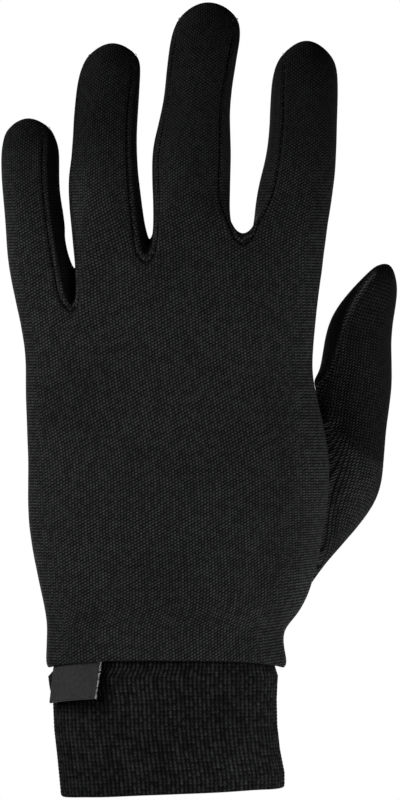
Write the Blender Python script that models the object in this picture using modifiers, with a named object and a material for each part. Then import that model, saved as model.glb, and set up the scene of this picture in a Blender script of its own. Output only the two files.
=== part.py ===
"""Knitted glove liner for the left hand, filled as if worn, fingers up.

The back of the hand faces -Y and the thumb is at +X. The origin is the middle of the cuff's mouth.
One coarse cage gives the whole hand its smooth form. It is thickened inwards into cloth and then
parted along its seams into the hand panel, the three fourchettes and the thumb.
"""
import math
from collections import namedtuple

import bpy
import bmesh
import numpy as np
from mathutils import Vector

# Driving sizes, in metres
CUFF_HEIGHT = 0.0416        # the cuff's mouth to the hem
HAND_LENGTH = 0.2220        # the hem to the tip of the middle finger
PALM_WIDTH = 0.100          # across the broadest part of the palm
PALM_DEPTH = 0.031          # the heel of the hand, front to back
FINGER_DEPTH = 0.0205       # a finger's root, front to back
CUFF_DEPTH = 0.030          # the cuff, front to back
CUFF_SLANT = 0.0015         # how far the cuff's mouth rises towards the thumb side
CLOTH = 0.0012              # one ply of the hand's cloth
CUFF_CLOTH = 0.0022         # the cuff's two plies of ribbed knit
CUFF_FOLD_RADIUS = 0.0009   # at the fold round the cuff's mouth
SEAM_GAP = 0.0003           # between two pieces sewn edge to edge
HEM_HEIGHT = 0.0120         # the part of the hand that flares over the cuff
HEM_ROOM = 0.0017           # between the cuff's neck and the hem around it
HEM_RISE = 0.0028           # how far the hem climbs in the middle of the hand
LABEL_WIDTH = 0.0150
LABEL_DROP = 0.0122         # how far the label hangs below the hem
LABEL_TUCK = 0.0022         # how far the label goes up inside the hem
LABEL_TAPE = 0.00035        # the thickness of the label's tape
LABEL_FOLD = 0.00035        # between the label's two plies
LABEL_CLEARANCE = 0.00035   # between the cuff and the label's back ply at the hem
LABEL_STAND_OFF = 0.0014    # how much farther off the cuff its lower end hangs
LABEL_LEAN = 0.0010         # how far its lower end leans towards the little finger's side
CUFF_SEAM = 0.8             # how far up inside the hem the cuff ends, in shares of HEM_HEIGHT

# Section shapes: 2 is an ellipse, more is squarer
FINGER_SQUARENESS = 2.2
PALM_SQUARENESS = 2.8
CUFF_SQUARENESS = 3.0

CUFF_COLUMNS = 44
LABEL_COLUMNS = 10
LABEL_ROWS = 6
CAGE_FITS = 8               # passes that pull the smooth surface onto its sections
SMOOTH_LEVELS = 1
CREASE_ANGLE = math.radians(50)     # edges sharper than this are shaded as edges
FOLD_ANGLE = math.radians(60)       # edges of the cuff sharper than this are rounded

# Rings up each finger: height above the hem in shares of HAND_LENGTH, left and right edges in shares of
# PALM_WIDTH from the middle of the cuff, depth in shares of FINGER_DEPTH, and how far the
# ring's middle lies towards the palm side, also in shares of FINGER_DEPTH.
Ring = namedtuple("Ring", "height left right depth bend")
Finger = namedtuple("Finger", "name rings tip")
Tip = namedtuple("Tip", "height across bend")

FINGERS = (
    Finger("little", (
        Ring(0.657, -0.557, -0.363, 0.88, 0.02),
        Ring(0.713, -0.567, -0.380, 0.86, 0.05),
        Ring(0.760, -0.573, -0.384, 0.83, 0.12),
        Ring(0.788, -0.568, -0.391, 0.76, 0.20),
        Ring(0.810, -0.547, -0.415, 0.55, 0.27),
    ), Tip(0.826, -0.485, 0.32)),
    Finger("ring", (
        Ring(0.696, -0.345, -0.104, 1.00, 0.02),
        Ring(0.763, -0.337, -0.119, 0.96, 0.06),
        Ring(0.831, -0.328, -0.117, 0.93, 0.14),
        Ring(0.890, -0.311, -0.110, 0.84, 0.26),
        Ring(0.920, -0.281, -0.125, 0.60, 0.33),
    ), Tip(0.940, -0.204, 0.38)),
    Finger("middle", (
        Ring(0.705, -0.067, 0.190, 1.03, 0.02),
        Ring(0.776, -0.067, 0.193, 0.99, 0.06),
        Ring(0.843, -0.036, 0.191, 0.95, 0.13),
        Ring(0.920, -0.014, 0.214, 0.88, 0.26),
        Ring(0.973, 0.021, 0.214, 0.63, 0.38),
    ), Tip(1.002, 0.119, 0.44)),
    Finger("index", (
        Ring(0.703, 0.279, 0.530, 1.00, 0.02),
        Ring(0.763, 0.309, 0.543, 0.97, 0.05),
        Ring(0.822, 0.324, 0.547, 0.94, 0.12),
        Ring(0.884, 0.334, 0.550, 0.86, 0.22),
        Ring(0.921, 0.368, 0.525, 0.62, 0.29),
    ), Tip(0.944, 0.447, 0.34)),
)

# The web between two fingers: its edges across the hand and heights, at the back of the hand
# (front), at its deepest (middle) and at the palm.
Web = namedtuple("Web", "name left right front middle_left middle_right middle palm")
WEBS = (
    Web("little_ring", -0.366, -0.320, 0.547, -0.338, -0.319, 0.605, 0.592),
    Web("ring_middle", -0.115, -0.065, 0.622, -0.084, -0.068, 0.648, 0.633),
    Web("middle_index", 0.203, 0.265, 0.638, 0.203, 0.263, 0.652, 0.639),
)
KNUCKLE_DEPTH = 0.56        # half the depth of the finger roots, in shares of FINGER_DEPTH
KNUCKLE_LIFT = (0.579, 0.605, 0.634, 0.634)
LITTLE_ROOT = (-0.543, 0.590)
INDEX_ROOT = (0.505, 0.629)

# Where a finger's two seams lie, in degrees round the section from its side: towards the back of
# the hand (front) and towards the palm. A side with no fourchette has no seam.
Seam = namedtuple("Seam", "front palm")
PLAIN_SIDE = Seam(45, 45)
SEAMS = {
    "little": (PLAIN_SIDE, Seam(66, 16)),
    "ring": (Seam(20, 58), Seam(50, 30)),
    "middle": (Seam(33, 45), Seam(46, 34)),
    "index": (Seam(54, 28), PLAIN_SIDE),
}
SEAM_TAPER = (1.0, 1.0, 1.0, 0.90, 0.75)

# Rings of the hem: height in shares of HEM_HEIGHT, and how far out they lie of its lower edge.
HemRing = namedtuple("HemRing", "height flare")
HEM = (
    HemRing(0.00, 0.0),
    HemRing(0.27, 0.0007),
    HemRing(1.00, 0.0004),
)

# Rings up the hand from the hem: height in shares of HAND_LENGTH, edges in shares of PALM_WIDTH, half
# depths in shares of PALM_DEPTH, and how far the columns have moved towards the fingers' own.
Level = namedtuple("Level", "height left right front palm spread")
LEVELS = (
    Level(0.103, -0.434, 0.443, 0.545, 0.560, 0.1),
    Level(0.210, -0.478, 0.502, 0.515, 0.570, 0.3),
    Level(0.314, -0.483, 0.517, 0.490, 0.530, 0.5),
    Level(0.416, -0.491, 0.474, 0.455, 0.470, 0.7),
    Level(0.492, -0.499, 0.470, 0.420, 0.420, 0.85),
)
THUMB_FIRST, THUMB_LAST = 3, 6      # the rings, counted from the hem, that the thumb is let in between

# Rings along the thumb: its outer and inner points across the hand and up it, then its middle
# and half depth front to back, in shares of PALM_WIDTH, HAND_LENGTH and PALM_DEPTH.
ThumbRing = namedtuple("ThumbRing", "outer outer_height inner inner_height middle depth")
THUMB = (
    ThumbRing(0.592, 0.194, 0.476, 0.405, 0.542, 0.323),
    ThumbRing(0.692, 0.265, 0.480, 0.425, 0.555, 0.355),
    ThumbRing(0.712, 0.344, 0.489, 0.444, 0.535, 0.355),
    ThumbRing(0.733, 0.425, 0.503, 0.473, 0.484, 0.348),
    ThumbRing(0.733, 0.493, 0.526, 0.518, 0.426, 0.329),
    ThumbRing(0.749, 0.553, 0.583, 0.560, 0.361, 0.277),
    ThumbRing(0.746, 0.585, 0.650, 0.592, 0.323, 0.187),
)
THUMB_TIP = (0.707, 0.605, 0.306)
THUMB_TIP_SPREAD = 0.018

# Rings up the cuff: height in shares of CUFF_HEIGHT, edges in shares of PALM_WIDTH, half depth
# in shares of CUFF_DEPTH. The last is the neck that goes up inside the hem.
CuffRing = namedtuple("CuffRing", "height left right depth")
CUFF_RINGS = (
    CuffRing(0.000, -0.373, 0.372, 0.500),
    CuffRing(0.127, -0.378, 0.372, 0.500),
    CuffRing(0.317, -0.386, 0.357, 0.500),
    CuffRing(0.519, -0.396, 0.348, 0.490),
    CuffRing(0.728, -0.400, 0.346, 0.490),
    CuffRing(0.855, -0.412, 0.348, 0.490),
    CuffRing(0.930, -0.416, 0.350, 0.480),
    CuffRing(1.010, -0.386, 0.340, 0.475),
)
NECK = CUFF_RINGS[-1]
LABEL_PLACE = -0.384        # the label's end by the little finger's side, in shares of PALM_WIDTH

HAND_TAGS = ("hand_panel", "fourchette_little_ring", "fourchette_ring_middle",
             "fourchette_middle_index", "thumb")
PANEL, THUMB_TAG = 0, 4

# Material values: base colour, roughness
MATERIALS = {
    "knit": ((0.0125, 0.0125, 0.0140, 1.0), 0.92),
    "ribbed_knit": ((0.0110, 0.0110, 0.0125, 1.0), 0.94),
    "woven_tape": ((0.030, 0.030, 0.032, 1.0), 0.70),
}


def up_hand(share):
    """The height of a place on the hand above the hem."""
    return CUFF_HEIGHT + share * HAND_LENGTH


def clear_scene():
    for old in list(bpy.data.objects):
        bpy.data.objects.remove(old)


def make_material(name):
    colour, roughness = MATERIALS[name]
    material = bpy.data.materials.new(name)
    material.use_nodes = True
    shader = material.node_tree.nodes["Principled BSDF"]
    shader.inputs["Base Color"].default_value = colour
    shader.inputs["Roughness"].default_value = roughness
    shader.inputs["Metallic"].default_value = 0.0
    return material


def rounded(angle, power):
    """A point of a unit rounded section; the angle runs from +X towards the back of the hand."""
    cosine, sine = math.cos(angle), math.sin(angle)
    across = math.copysign(abs(cosine) ** (2 / power), cosine)
    front = math.copysign(abs(sine) ** (2 / power), sine)
    return across, -front


class Cage:
    """Points, and quads with the tag of the piece that they belong to."""

    def __init__(self):
        self.points = []
        self.quads = []
        self.tags = []

    def add_point(self, across, depth, height):
        self.points.append(Vector((across, depth, height)))
        return len(self.points) - 1

    def add_quad(self, corners, tag):
        self.quads.append(tuple(corners))
        self.tags.append(tag)

    def add_band(self, lower, upper, tags):
        """Quads between two closed rings; tags holds one tag for each column."""
        count = len(lower)
        for i in range(count):
            j = (i + 1) % count
            self.add_quad((lower[i], lower[j], upper[j], upper[i]), tags[i])


# A finger's eight columns, in order round it from its left side over the back of the hand
SIDE_LEFT, FRONT_LEFT, FRONT_MID, FRONT_RIGHT, SIDE_RIGHT, PALM_RIGHT, PALM_MID, PALM_LEFT = range(8)


def finger_angles(name, taper):
    """The angle of each of the eight columns, from +X over the back of the hand."""
    left, right = SEAMS[name]
    left_front = 180 - left.front * taper
    left_palm = 180 + left.palm * taper
    right_front = right.front * taper
    right_palm = -right.palm * taper
    degrees = {
        SIDE_LEFT: (left_front + left_palm) / 2,
        FRONT_LEFT: left_front,
        FRONT_MID: (left_front + right_front) / 2,
        FRONT_RIGHT: right_front,
        SIDE_RIGHT: (right_front + right_palm) / 2,
        PALM_RIGHT: right_palm,
        PALM_MID: (right_palm + left_palm - 360) / 2,
        PALM_LEFT: left_palm,
    }
    return [math.radians(degrees[column]) for column in range(8)]


def finger_tags(index):
    """The piece that each of the eight columns of faces belongs to."""
    tags = [PANEL] * 8
    if index > 0:
        tags[SIDE_LEFT] = tags[PALM_LEFT] = index
    if index < len(FINGERS) - 1:
        tags[FRONT_RIGHT] = tags[SIDE_RIGHT] = index + 1
    return tags


def add_finger(cage, index, root):
    """Rings from the root to the tip, and the quads that close the tip."""
    finger = FINGERS[index]
    tags = finger_tags(index)
    below = root
    for ring, taper in zip(finger.rings, SEAM_TAPER):
        middle = (ring.left + ring.right) / 2 * PALM_WIDTH
        half_width = (ring.right - ring.left) / 2 * PALM_WIDTH
        half_depth = ring.depth * FINGER_DEPTH / 2
        bend = ring.bend * FINGER_DEPTH
        columns = []
        for angle in finger_angles(finger.name, taper):
            across, front = rounded(angle, FINGER_SQUARENESS)
            columns.append(cage.add_point(middle + across * half_width, bend + front * half_depth,
                                          up_hand(ring.height)))
        cage.add_band(below, columns, tags)
        below = columns
    tip = cage.add_point(finger.tip.across * PALM_WIDTH, finger.tip.bend * FINGER_DEPTH,
                         up_hand(finger.tip.height))
    for corner, first, last in ((FRONT_LEFT, SIDE_LEFT, FRONT_MID),
                                (FRONT_RIGHT, FRONT_MID, SIDE_RIGHT),
                                (PALM_RIGHT, SIDE_RIGHT, PALM_MID),
                                (PALM_LEFT, PALM_MID, SIDE_LEFT)):
        cage.add_quad((below[first], below[corner], below[last], tip), PANEL)


def add_finger_roots(cage):
    """The ring where each finger leaves the hand."""
    depth = KNUCKLE_DEPTH * FINGER_DEPTH
    roots = []
    for index, finger in enumerate(FINGERS):
        angles = finger_angles(finger.name, 1.0)
        has_left, has_right = index > 0, index < len(FINGERS) - 1
        left_web = WEBS[index - 1] if has_left else None
        right_web = WEBS[index] if has_right else None
        left_edge, left_height = (left_web.right, left_web.front) if has_left else LITTLE_ROOT
        right_edge, right_height = (right_web.left, right_web.front) if has_right else INDEX_ROOT
        root = []
        for column, angle in enumerate(angles):
            front = rounded(angle, FINGER_SQUARENESS)[1]
            if column in (FRONT_MID, PALM_MID):
                across = (left_edge + right_edge) / 2
                height = KNUCKLE_LIFT[index]
            elif column in (FRONT_LEFT, SIDE_LEFT, PALM_LEFT):
                across, height = left_edge, left_height
                if has_left:
                    across = left_web.middle_right if column == SIDE_LEFT else left_web.right
                    height = {SIDE_LEFT: left_web.middle, PALM_LEFT: left_web.palm}.get(column, height)
                elif column != SIDE_LEFT:
                    across = left_edge + (right_edge - left_edge) * (1 + math.cos(angle)) / 2
            else:
                across, height = right_edge, right_height
                if has_right:
                    across = right_web.middle_left if column == SIDE_RIGHT else right_web.left
                    height = {SIDE_RIGHT: right_web.middle, PALM_RIGHT: right_web.palm}.get(column, height)
                elif column != SIDE_RIGHT:
                    across = right_edge - (right_edge - left_edge) * (1 - math.cos(angle)) / 2
            root.append(cage.add_point(across * PALM_WIDTH, front * depth, up_hand(height)))
        roots.append(root)
    return roots


def add_webs(cage, roots):
    """The two quads of each web, which belong to the fourchette beside them."""
    for index in range(len(WEBS)):
        left, right = roots[index], roots[index + 1]
        tag = index + 1
        cage.add_quad((left[FRONT_RIGHT], right[FRONT_LEFT], right[SIDE_LEFT], left[SIDE_RIGHT]), tag)
        cage.add_quad((left[SIDE_RIGHT], right[SIDE_LEFT], right[PALM_LEFT], left[PALM_RIGHT]), tag)


def hand_ring(roots):
    """The points round the whole hand at the finger roots, from the little finger's side."""
    ring = [roots[0][SIDE_LEFT]]
    for root in roots:
        ring += [root[FRONT_LEFT], root[FRONT_MID], root[FRONT_RIGHT]]
    ring.append(roots[-1][SIDE_RIGHT])
    for root in reversed(roots):
        ring += [root[PALM_RIGHT], root[PALM_MID], root[PALM_LEFT]]
    return ring


def ring_reach(share, power):
    """How deep a unit rounded section is at a share of its half width."""
    return (1 - min(1.0, abs(share)) ** power) ** (1 / power)


def hem_points(cage, ring, count):
    """A ring of the hem, which keeps its room all round the cuff's neck."""
    left, right = NECK.left * PALM_WIDTH, NECK.right * PALM_WIDTH
    outset = HEM_ROOM + CLOTH + ring.flare
    points = []
    for i in range(count):
        across, front = rounded(math.pi - 2 * math.pi * i / count, CUFF_SQUARENESS)
        points.append(cage.add_point((left + right) / 2 + across * ((right - left) / 2 + outset),
                                     front * (NECK.depth * CUFF_DEPTH + outset),
                                     CUFF_HEIGHT + ring.height * HEM_HEIGHT + HEM_RISE * front ** 2))
    return points


def level_points(cage, level, top_shares):
    """A ring of the hand, its columns between an even spread and the fingers' own places."""
    left, right = level.left * PALM_WIDTH, level.right * PALM_WIDTH
    count = len(top_shares)
    points = []
    for i, top_share in enumerate(top_shares):
        even = rounded(math.pi - 2 * math.pi * i / count, PALM_SQUARENESS)[0]
        share = even + (top_share - even) * level.spread
        depth = -level.front if 0 < i < count // 2 else level.palm
        points.append(cage.add_point((left + right) / 2 + share * (right - left) / 2,
                                     depth * ring_reach(share, PALM_SQUARENESS) * PALM_DEPTH,
                                     up_hand(level.height)))
    return points


def add_hand(cage, roots):
    """Rings from the hem up to the finger roots, with an opening left for the thumb."""
    top = hand_ring(roots)
    count = len(top)
    top_left, top_right = cage.points[top[0]].x, cage.points[top[count // 2]].x
    top_shares = [(2 * cage.points[p].x - top_left - top_right) / (top_right - top_left) for p in top]
    rings = [hem_points(cage, ring, count) for ring in HEM]
    rings += [level_points(cage, level, top_shares) for level in LEVELS]
    rings.append(top)
    thumb_columns = (count // 2 + 1, count // 2 + 2)
    for row in range(len(rings) - 1):
        for i in range(count):
            j = (i + 1) % count
            if i in thumb_columns and THUMB_FIRST <= row < THUMB_LAST:
                continue
            cage.add_quad((rings[row][i], rings[row][j], rings[row + 1][j], rings[row + 1][i]), PANEL)
    return rings, thumb_columns


def thumb_opening(rings, columns):
    """The opening's ten points, from its lowest, up the side next to the back of the hand."""
    near, far = columns[0], columns[1] + 1
    rows = range(THUMB_FIRST, THUMB_LAST + 1)
    return ([rings[THUMB_FIRST][columns[1]]] + [rings[row][near] for row in rows]
            + [rings[THUMB_LAST][columns[1]]] + [rings[row][far] for row in reversed(rows)])


def add_thumb(cage, opening):
    count = len(opening)
    below = opening
    for ring in THUMB:
        outer = Vector((ring.outer * PALM_WIDTH, ring.middle * PALM_DEPTH, up_hand(ring.outer_height)))
        inner = Vector((ring.inner * PALM_WIDTH, ring.middle * PALM_DEPTH, up_hand(ring.inner_height)))
        middle, half = (outer + inner) / 2, (outer - inner) / 2
        columns = []
        for i in range(count):
            across, front = rounded(2 * math.pi * i / count, FINGER_SQUARENESS)
            place = middle + across * half + Vector((0, front * ring.depth * PALM_DEPTH, 0))
            columns.append(cage.add_point(*place))
        cage.add_band(below, columns, [THUMB_TAG] * count)
        below = columns
    across, height, depth = THUMB_TIP
    crest = [cage.add_point((across + shift) * PALM_WIDTH, depth * PALM_DEPTH, up_hand(height))
             for shift in (THUMB_TIP_SPREAD, -THUMB_TIP_SPREAD)]
    front = below[1:5]
    ridge = [below[0], crest[0], crest[1], below[5]]
    palm = [below[9], below[8], below[7], below[6]]
    for i in range(3):
        cage.add_quad((front[i], front[i + 1], ridge[i + 1], ridge[i]), THUMB_TAG)
        cage.add_quad((ridge[i], ridge[i + 1], palm[i + 1], palm[i]), THUMB_TAG)


def evaluated_points(shape):
    """The points, faces and tags of an object with its modifiers."""
    bpy.context.view_layer.update()
    result = shape.evaluated_get(bpy.context.evaluated_depsgraph_get())
    mesh = result.to_mesh()
    points = np.array([vertex.co[:] for vertex in mesh.vertices])
    faces = [tuple(face.vertices) for face in mesh.polygons]
    tags = [face.material_index for face in mesh.polygons]
    result.to_mesh_clear()
    return points, faces, tags


def smooth_hand_form():
    """The whole hand as an open, smooth surface whose rings lie on the sections in the tables."""
    cage = Cage()
    roots = add_finger_roots(cage)
    for index in range(len(FINGERS)):
        add_finger(cage, index, roots[index])
    add_webs(cage, roots)
    rings, columns = add_hand(cage, roots)
    add_thumb(cage, thumb_opening(rings, columns))

    mesh = bpy.data.meshes.new("hand_form")
    mesh.from_pydata(cage.points, [], cage.quads)
    for _ in HAND_TAGS:
        mesh.materials.append(None)
    for face, tag in zip(mesh.polygons, cage.tags):
        face.material_index = tag
    turner = bmesh.new()
    turner.from_mesh(mesh)
    bmesh.ops.recalc_face_normals(turner, faces=turner.faces)
    turner.to_mesh(mesh)
    turner.free()

    form = bpy.data.objects.new("hand_form", mesh)
    bpy.context.scene.collection.objects.link(form)
    smooth = form.modifiers.new("smooth", "SUBSURF")
    smooth.levels = smooth.render_levels = SMOOTH_LEVELS
    wanted = np.array([point[:] for point in cage.points])
    count = len(wanted)
    held = wanted.copy()
    for _ in range(CAGE_FITS):
        reached = evaluated_points(form)[0][:count]
        held += wanted - reached
        mesh.vertices.foreach_set("co", held.ravel())
        mesh.update()
    return form


def part_shell(points, faces, tags, tag, half):
    """One closed piece: its outer and inner faces, and a rim along its seams, kept off its neighbours."""
    outer = [face for face, kind in zip(faces, tags) if kind == tag]
    edges = {}
    for face in outer:
        for a, b in zip(face, face[1:] + face[:1]):
            edges[(a, b)] = face
    rim = [(a, b) for a, b in edges if (b, a) not in edges]
    moved = {}
    for a, b in rim:
        along = points[b] - points[a]
        face_middle = np.mean([points[p] for p in edges[(a, b)]], axis=0)
        inward = face_middle - (points[a] + points[b]) / 2
        inward -= along * np.dot(inward, along) / np.dot(along, along)
        inward /= np.linalg.norm(inward)
        for p in (a, b):
            moved[p] = moved.get(p, np.zeros(3)) + inward
    for p, direction in moved.items():
        moved[p] = direction / np.linalg.norm(direction) * SEAM_GAP / 2
    used = sorted({p for face in outer for p in face})
    order = {p: i for i, p in enumerate(used)}
    shift = len(used)
    top = [points[p] + moved.get(p, 0) for p in used]
    below = [points[p + half] + moved.get(p, 0) for p in used]
    quads = [tuple(order[p] for p in face) for face in outer]
    quads += [tuple(order[p] + shift for p in reversed(face)) for face in outer]
    quads += [(order[b], order[a], order[a] + shift, order[b] + shift) for a, b in rim]
    return top + below, quads


def new_object(name, points, quads, material, collection):
    mesh = bpy.data.meshes.new(name)
    mesh.from_pydata([tuple(point) for point in points], [], quads)
    mesh.materials.append(material)
    mesh.shade_smooth()
    mesh.set_sharp_from_angle(angle=CREASE_ANGLE)
    made = bpy.data.objects.new(name, mesh)
    collection.objects.link(made)
    return made


def build_hand(collection, knit):
    form = smooth_hand_form()
    half = len(evaluated_points(form)[0])
    cloth = form.modifiers.new("cloth", "SOLIDIFY")
    cloth.thickness = CLOTH
    cloth.offset = -1.0
    cloth.use_rim = False
    points, faces, tags = evaluated_points(form)
    outer = [(face, tag) for face, tag in zip(faces, tags) if max(face) < half]
    outer_faces = [face for face, _ in outer]
    outer_tags = [tag for _, tag in outer]
    for tag, name in enumerate(HAND_TAGS):
        shell, quads = part_shell(points, outer_faces, outer_tags, tag, half)
        new_object(name, shell, quads, knit, collection)
    bpy.data.objects.remove(form)


def cuff_point(ring, angle, outset=0.0):
    """A point of the cuff's outer face, or outset from it."""
    left, right = ring.left * PALM_WIDTH, ring.right * PALM_WIDTH
    across, front = rounded(angle, CUFF_SQUARENESS)
    return Vector(((left + right) / 2 + across * ((right - left) / 2 + outset),
                   front * (ring.depth * CUFF_DEPTH + outset),
                   ring.height * CUFF_HEIGHT + CUFF_SLANT * across * max(0.0, 1 - ring.height)))


def cuff_ring_at(height):
    """The cuff's section at a height between its rings, or its neck above them."""
    share = height / CUFF_HEIGHT
    for low, high in zip(CUFF_RINGS, CUFF_RINGS[1:]):
        if share <= high.height:
            mix = (share - low.height) / (high.height - low.height)
            return CuffRing(*(a + (b - a) * mix for a, b in zip(low, high)))
    return NECK._replace(height=share)


def build_cuff(collection, ribbed_knit):
    """A tube of ribbed knit whose neck goes up inside the hem and flares out to its seam there."""
    neck_top = (CUFF_HEIGHT + LABEL_TUCK + CUFF_CLOTH) / CUFF_HEIGHT
    seam = (CUFF_HEIGHT + CUFF_SEAM * HEM_HEIGHT) / CUFF_HEIGHT
    rings = [(ring, 0.0) for ring in CUFF_RINGS]
    rings += [(NECK._replace(height=neck_top), 0.0), (NECK._replace(height=seam), HEM_ROOM)]
    points, quads = [], []
    for ring, outset in rings:
        for i in range(CUFF_COLUMNS):
            points.append(cuff_point(ring, -2 * math.pi * i / CUFF_COLUMNS, outset))
    for row in range(len(rings) - 1):
        for i in range(CUFF_COLUMNS):
            j = (i + 1) % CUFF_COLUMNS
            first, second = row * CUFF_COLUMNS, (row + 1) * CUFF_COLUMNS
            quads.append((first + i, first + j, second + j, second + i))
    cuff = new_object("cuff", points, quads, ribbed_knit, collection)
    plies = cuff.modifiers.new("plies", "SOLIDIFY")
    plies.thickness = CUFF_CLOTH
    plies.offset = -1.0
    fold = cuff.modifiers.new("fold", "BEVEL")
    fold.width = CUFF_FOLD_RADIUS
    fold.segments = 2
    fold.limit_method = "ANGLE"
    fold.angle_limit = FOLD_ANGLE


def label_profile():
    """How far off the cuff and how far above the hem the tape lies, down one ply and up the other."""
    spacing = LABEL_TAPE + LABEL_FOLD
    nearest = LABEL_TAPE / 2 + LABEL_CLEARANCE
    lowest = spacing / 2 - LABEL_DROP
    back = []
    for i in range(LABEL_ROWS + 1):
        height = LABEL_TUCK + (lowest - LABEL_TUCK) * i / LABEL_ROWS
        back.append((nearest + LABEL_STAND_OFF * max(0.0, -height / LABEL_DROP), height))
    front = [(outset + spacing, height) for outset, height in back]
    fold = (back[-1][0] + spacing / 2, -LABEL_DROP)
    return front + [fold] + back[::-1]


def build_label(collection, woven_tape):
    """A tape folded in two, its ends up inside the hem, curved with the cuff."""
    points, quads = [], []
    rows = label_profile()
    for outset, height in rows:
        ring = cuff_ring_at(CUFF_HEIGHT + height)
        middle, half = (ring.left + ring.right) / 2, (ring.right - ring.left) / 2
        lean = LABEL_LEAN * min(0.0, height / LABEL_DROP)
        first, last = (math.pi - math.acos(min(1.0, (middle - end) / half) ** (CUFF_SQUARENESS / 2))
                       for end in (LABEL_PLACE, LABEL_PLACE + LABEL_WIDTH / PALM_WIDTH))
        for i in range(LABEL_COLUMNS):
            angle = first + (last - first) * i / (LABEL_COLUMNS - 1)
            place = cuff_point(ring, angle, outset)
            place.x += lean * i / (LABEL_COLUMNS - 1)
            place.z = CUFF_HEIGHT + height + HEM_RISE * rounded(angle, CUFF_SQUARENESS)[1] ** 2
            points.append(place)
    for row in range(len(rows) - 1):
        for i in range(LABEL_COLUMNS - 1):
            first, second = row * LABEL_COLUMNS, (row + 1) * LABEL_COLUMNS
            quads.append((second + i, second + i + 1, first + i + 1, first + i))
    label = new_object("label", points, quads, woven_tape, collection)
    tape = label.modifiers.new("tape", "SOLIDIFY")
    tape.thickness = LABEL_TAPE
    tape.offset = 0.0
    tape.use_even_offset = True


def main():
    clear_scene()
    collection = bpy.data.collections.new("glove_liner")
    bpy.context.scene.collection.children.link(collection)
    build_hand(collection, make_material("knit"))
    build_cuff(collection, make_material("ribbed_knit"))
    build_label(collection, make_material("woven_tape"))


main()
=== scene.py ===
"""Dressed model of a dark knitted glove liner, filled as if worn, fingers up.

The back of the hand faces -Y and the thumb is at +X. The cloth follows the same coarse cage as the
solids and gets its seams, folds, hem and knit here.
"""

import math
from collections import namedtuple

import bpy
import numpy as np
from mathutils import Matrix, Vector, noise
from mathutils.kdtree import KDTree


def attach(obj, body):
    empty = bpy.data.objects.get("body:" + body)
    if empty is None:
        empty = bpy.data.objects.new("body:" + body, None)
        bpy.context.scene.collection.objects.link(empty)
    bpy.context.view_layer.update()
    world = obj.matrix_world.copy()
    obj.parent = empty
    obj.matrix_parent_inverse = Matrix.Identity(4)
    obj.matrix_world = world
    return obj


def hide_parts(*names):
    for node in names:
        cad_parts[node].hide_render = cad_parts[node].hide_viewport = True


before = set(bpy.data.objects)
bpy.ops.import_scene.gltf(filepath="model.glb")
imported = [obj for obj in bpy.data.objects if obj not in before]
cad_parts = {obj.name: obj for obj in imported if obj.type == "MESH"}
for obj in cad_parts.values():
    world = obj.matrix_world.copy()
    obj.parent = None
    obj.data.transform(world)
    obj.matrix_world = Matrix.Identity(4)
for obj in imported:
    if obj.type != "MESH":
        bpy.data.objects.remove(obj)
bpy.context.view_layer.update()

MM = 0.001

# Driving sizes, in metres, as in the solids
CUFF_HEIGHT = 0.0416
HAND_LENGTH = 0.2220
PALM_WIDTH = 0.100
PALM_DEPTH = 0.031
FINGER_DEPTH = 0.0205
CUFF_DEPTH = 0.030
CUFF_SLANT = 0.0015
CLOTH = 0.0012
CUFF_CLOTH = 0.0022
HEM_HEIGHT = 0.0120
HEM_ROOM = 0.0017
HEM_RISE = 0.0028
LABEL_WIDTH = 0.0150
LABEL_DROP = 0.0122
LABEL_TUCK = 0.0022
LABEL_TAPE = 0.00035
LABEL_FOLD = 0.00035
LABEL_CLEARANCE = 0.00035
LABEL_STAND_OFF = 0.0014
LABEL_LEAN = 0.0010
CUFF_SEAM = 0.8

FINGER_SQUARENESS = 2.2
PALM_SQUARENESS = 2.8
CUFF_SQUARENESS = 3.0

CAGE_FITS = 8
FINE_LEVELS = 4
LINING_LEVELS = 2
STEPS = 2 ** FINE_LEVELS

Ring = namedtuple("Ring", "height left right depth bend")
Finger = namedtuple("Finger", "name rings tip")
Tip = namedtuple("Tip", "height across bend")

FINGERS = (
    Finger("little", (
        Ring(0.657, -0.557, -0.363, 0.88, 0.02),
        Ring(0.713, -0.567, -0.380, 0.86, 0.05),
        Ring(0.760, -0.573, -0.384, 0.83, 0.12),
        Ring(0.788, -0.568, -0.391, 0.76, 0.20),
        Ring(0.810, -0.547, -0.415, 0.55, 0.27),
    ), Tip(0.826, -0.485, 0.32)),
    Finger("ring", (
        Ring(0.696, -0.345, -0.104, 1.00, 0.02),
        Ring(0.763, -0.337, -0.119, 0.96, 0.06),
        Ring(0.831, -0.328, -0.117, 0.93, 0.14),
        Ring(0.890, -0.311, -0.110, 0.84, 0.26),
        Ring(0.920, -0.281, -0.125, 0.60, 0.33),
    ), Tip(0.940, -0.204, 0.38)),
    Finger("middle", (
        Ring(0.705, -0.067, 0.190, 1.03, 0.02),
        Ring(0.776, -0.067, 0.193, 0.99, 0.06),
        Ring(0.843, -0.036, 0.191, 0.95, 0.13),
        Ring(0.920, -0.014, 0.214, 0.88, 0.26),
        Ring(0.973, 0.021, 0.214, 0.63, 0.38),
    ), Tip(1.002, 0.119, 0.44)),
    Finger("index", (
        Ring(0.703, 0.279, 0.530, 1.00, 0.02),
        Ring(0.763, 0.309, 0.543, 0.97, 0.05),
        Ring(0.822, 0.324, 0.547, 0.94, 0.12),
        Ring(0.884, 0.334, 0.550, 0.86, 0.22),
        Ring(0.921, 0.368, 0.525, 0.62, 0.29),
    ), Tip(0.944, 0.447, 0.34)),
)

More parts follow.
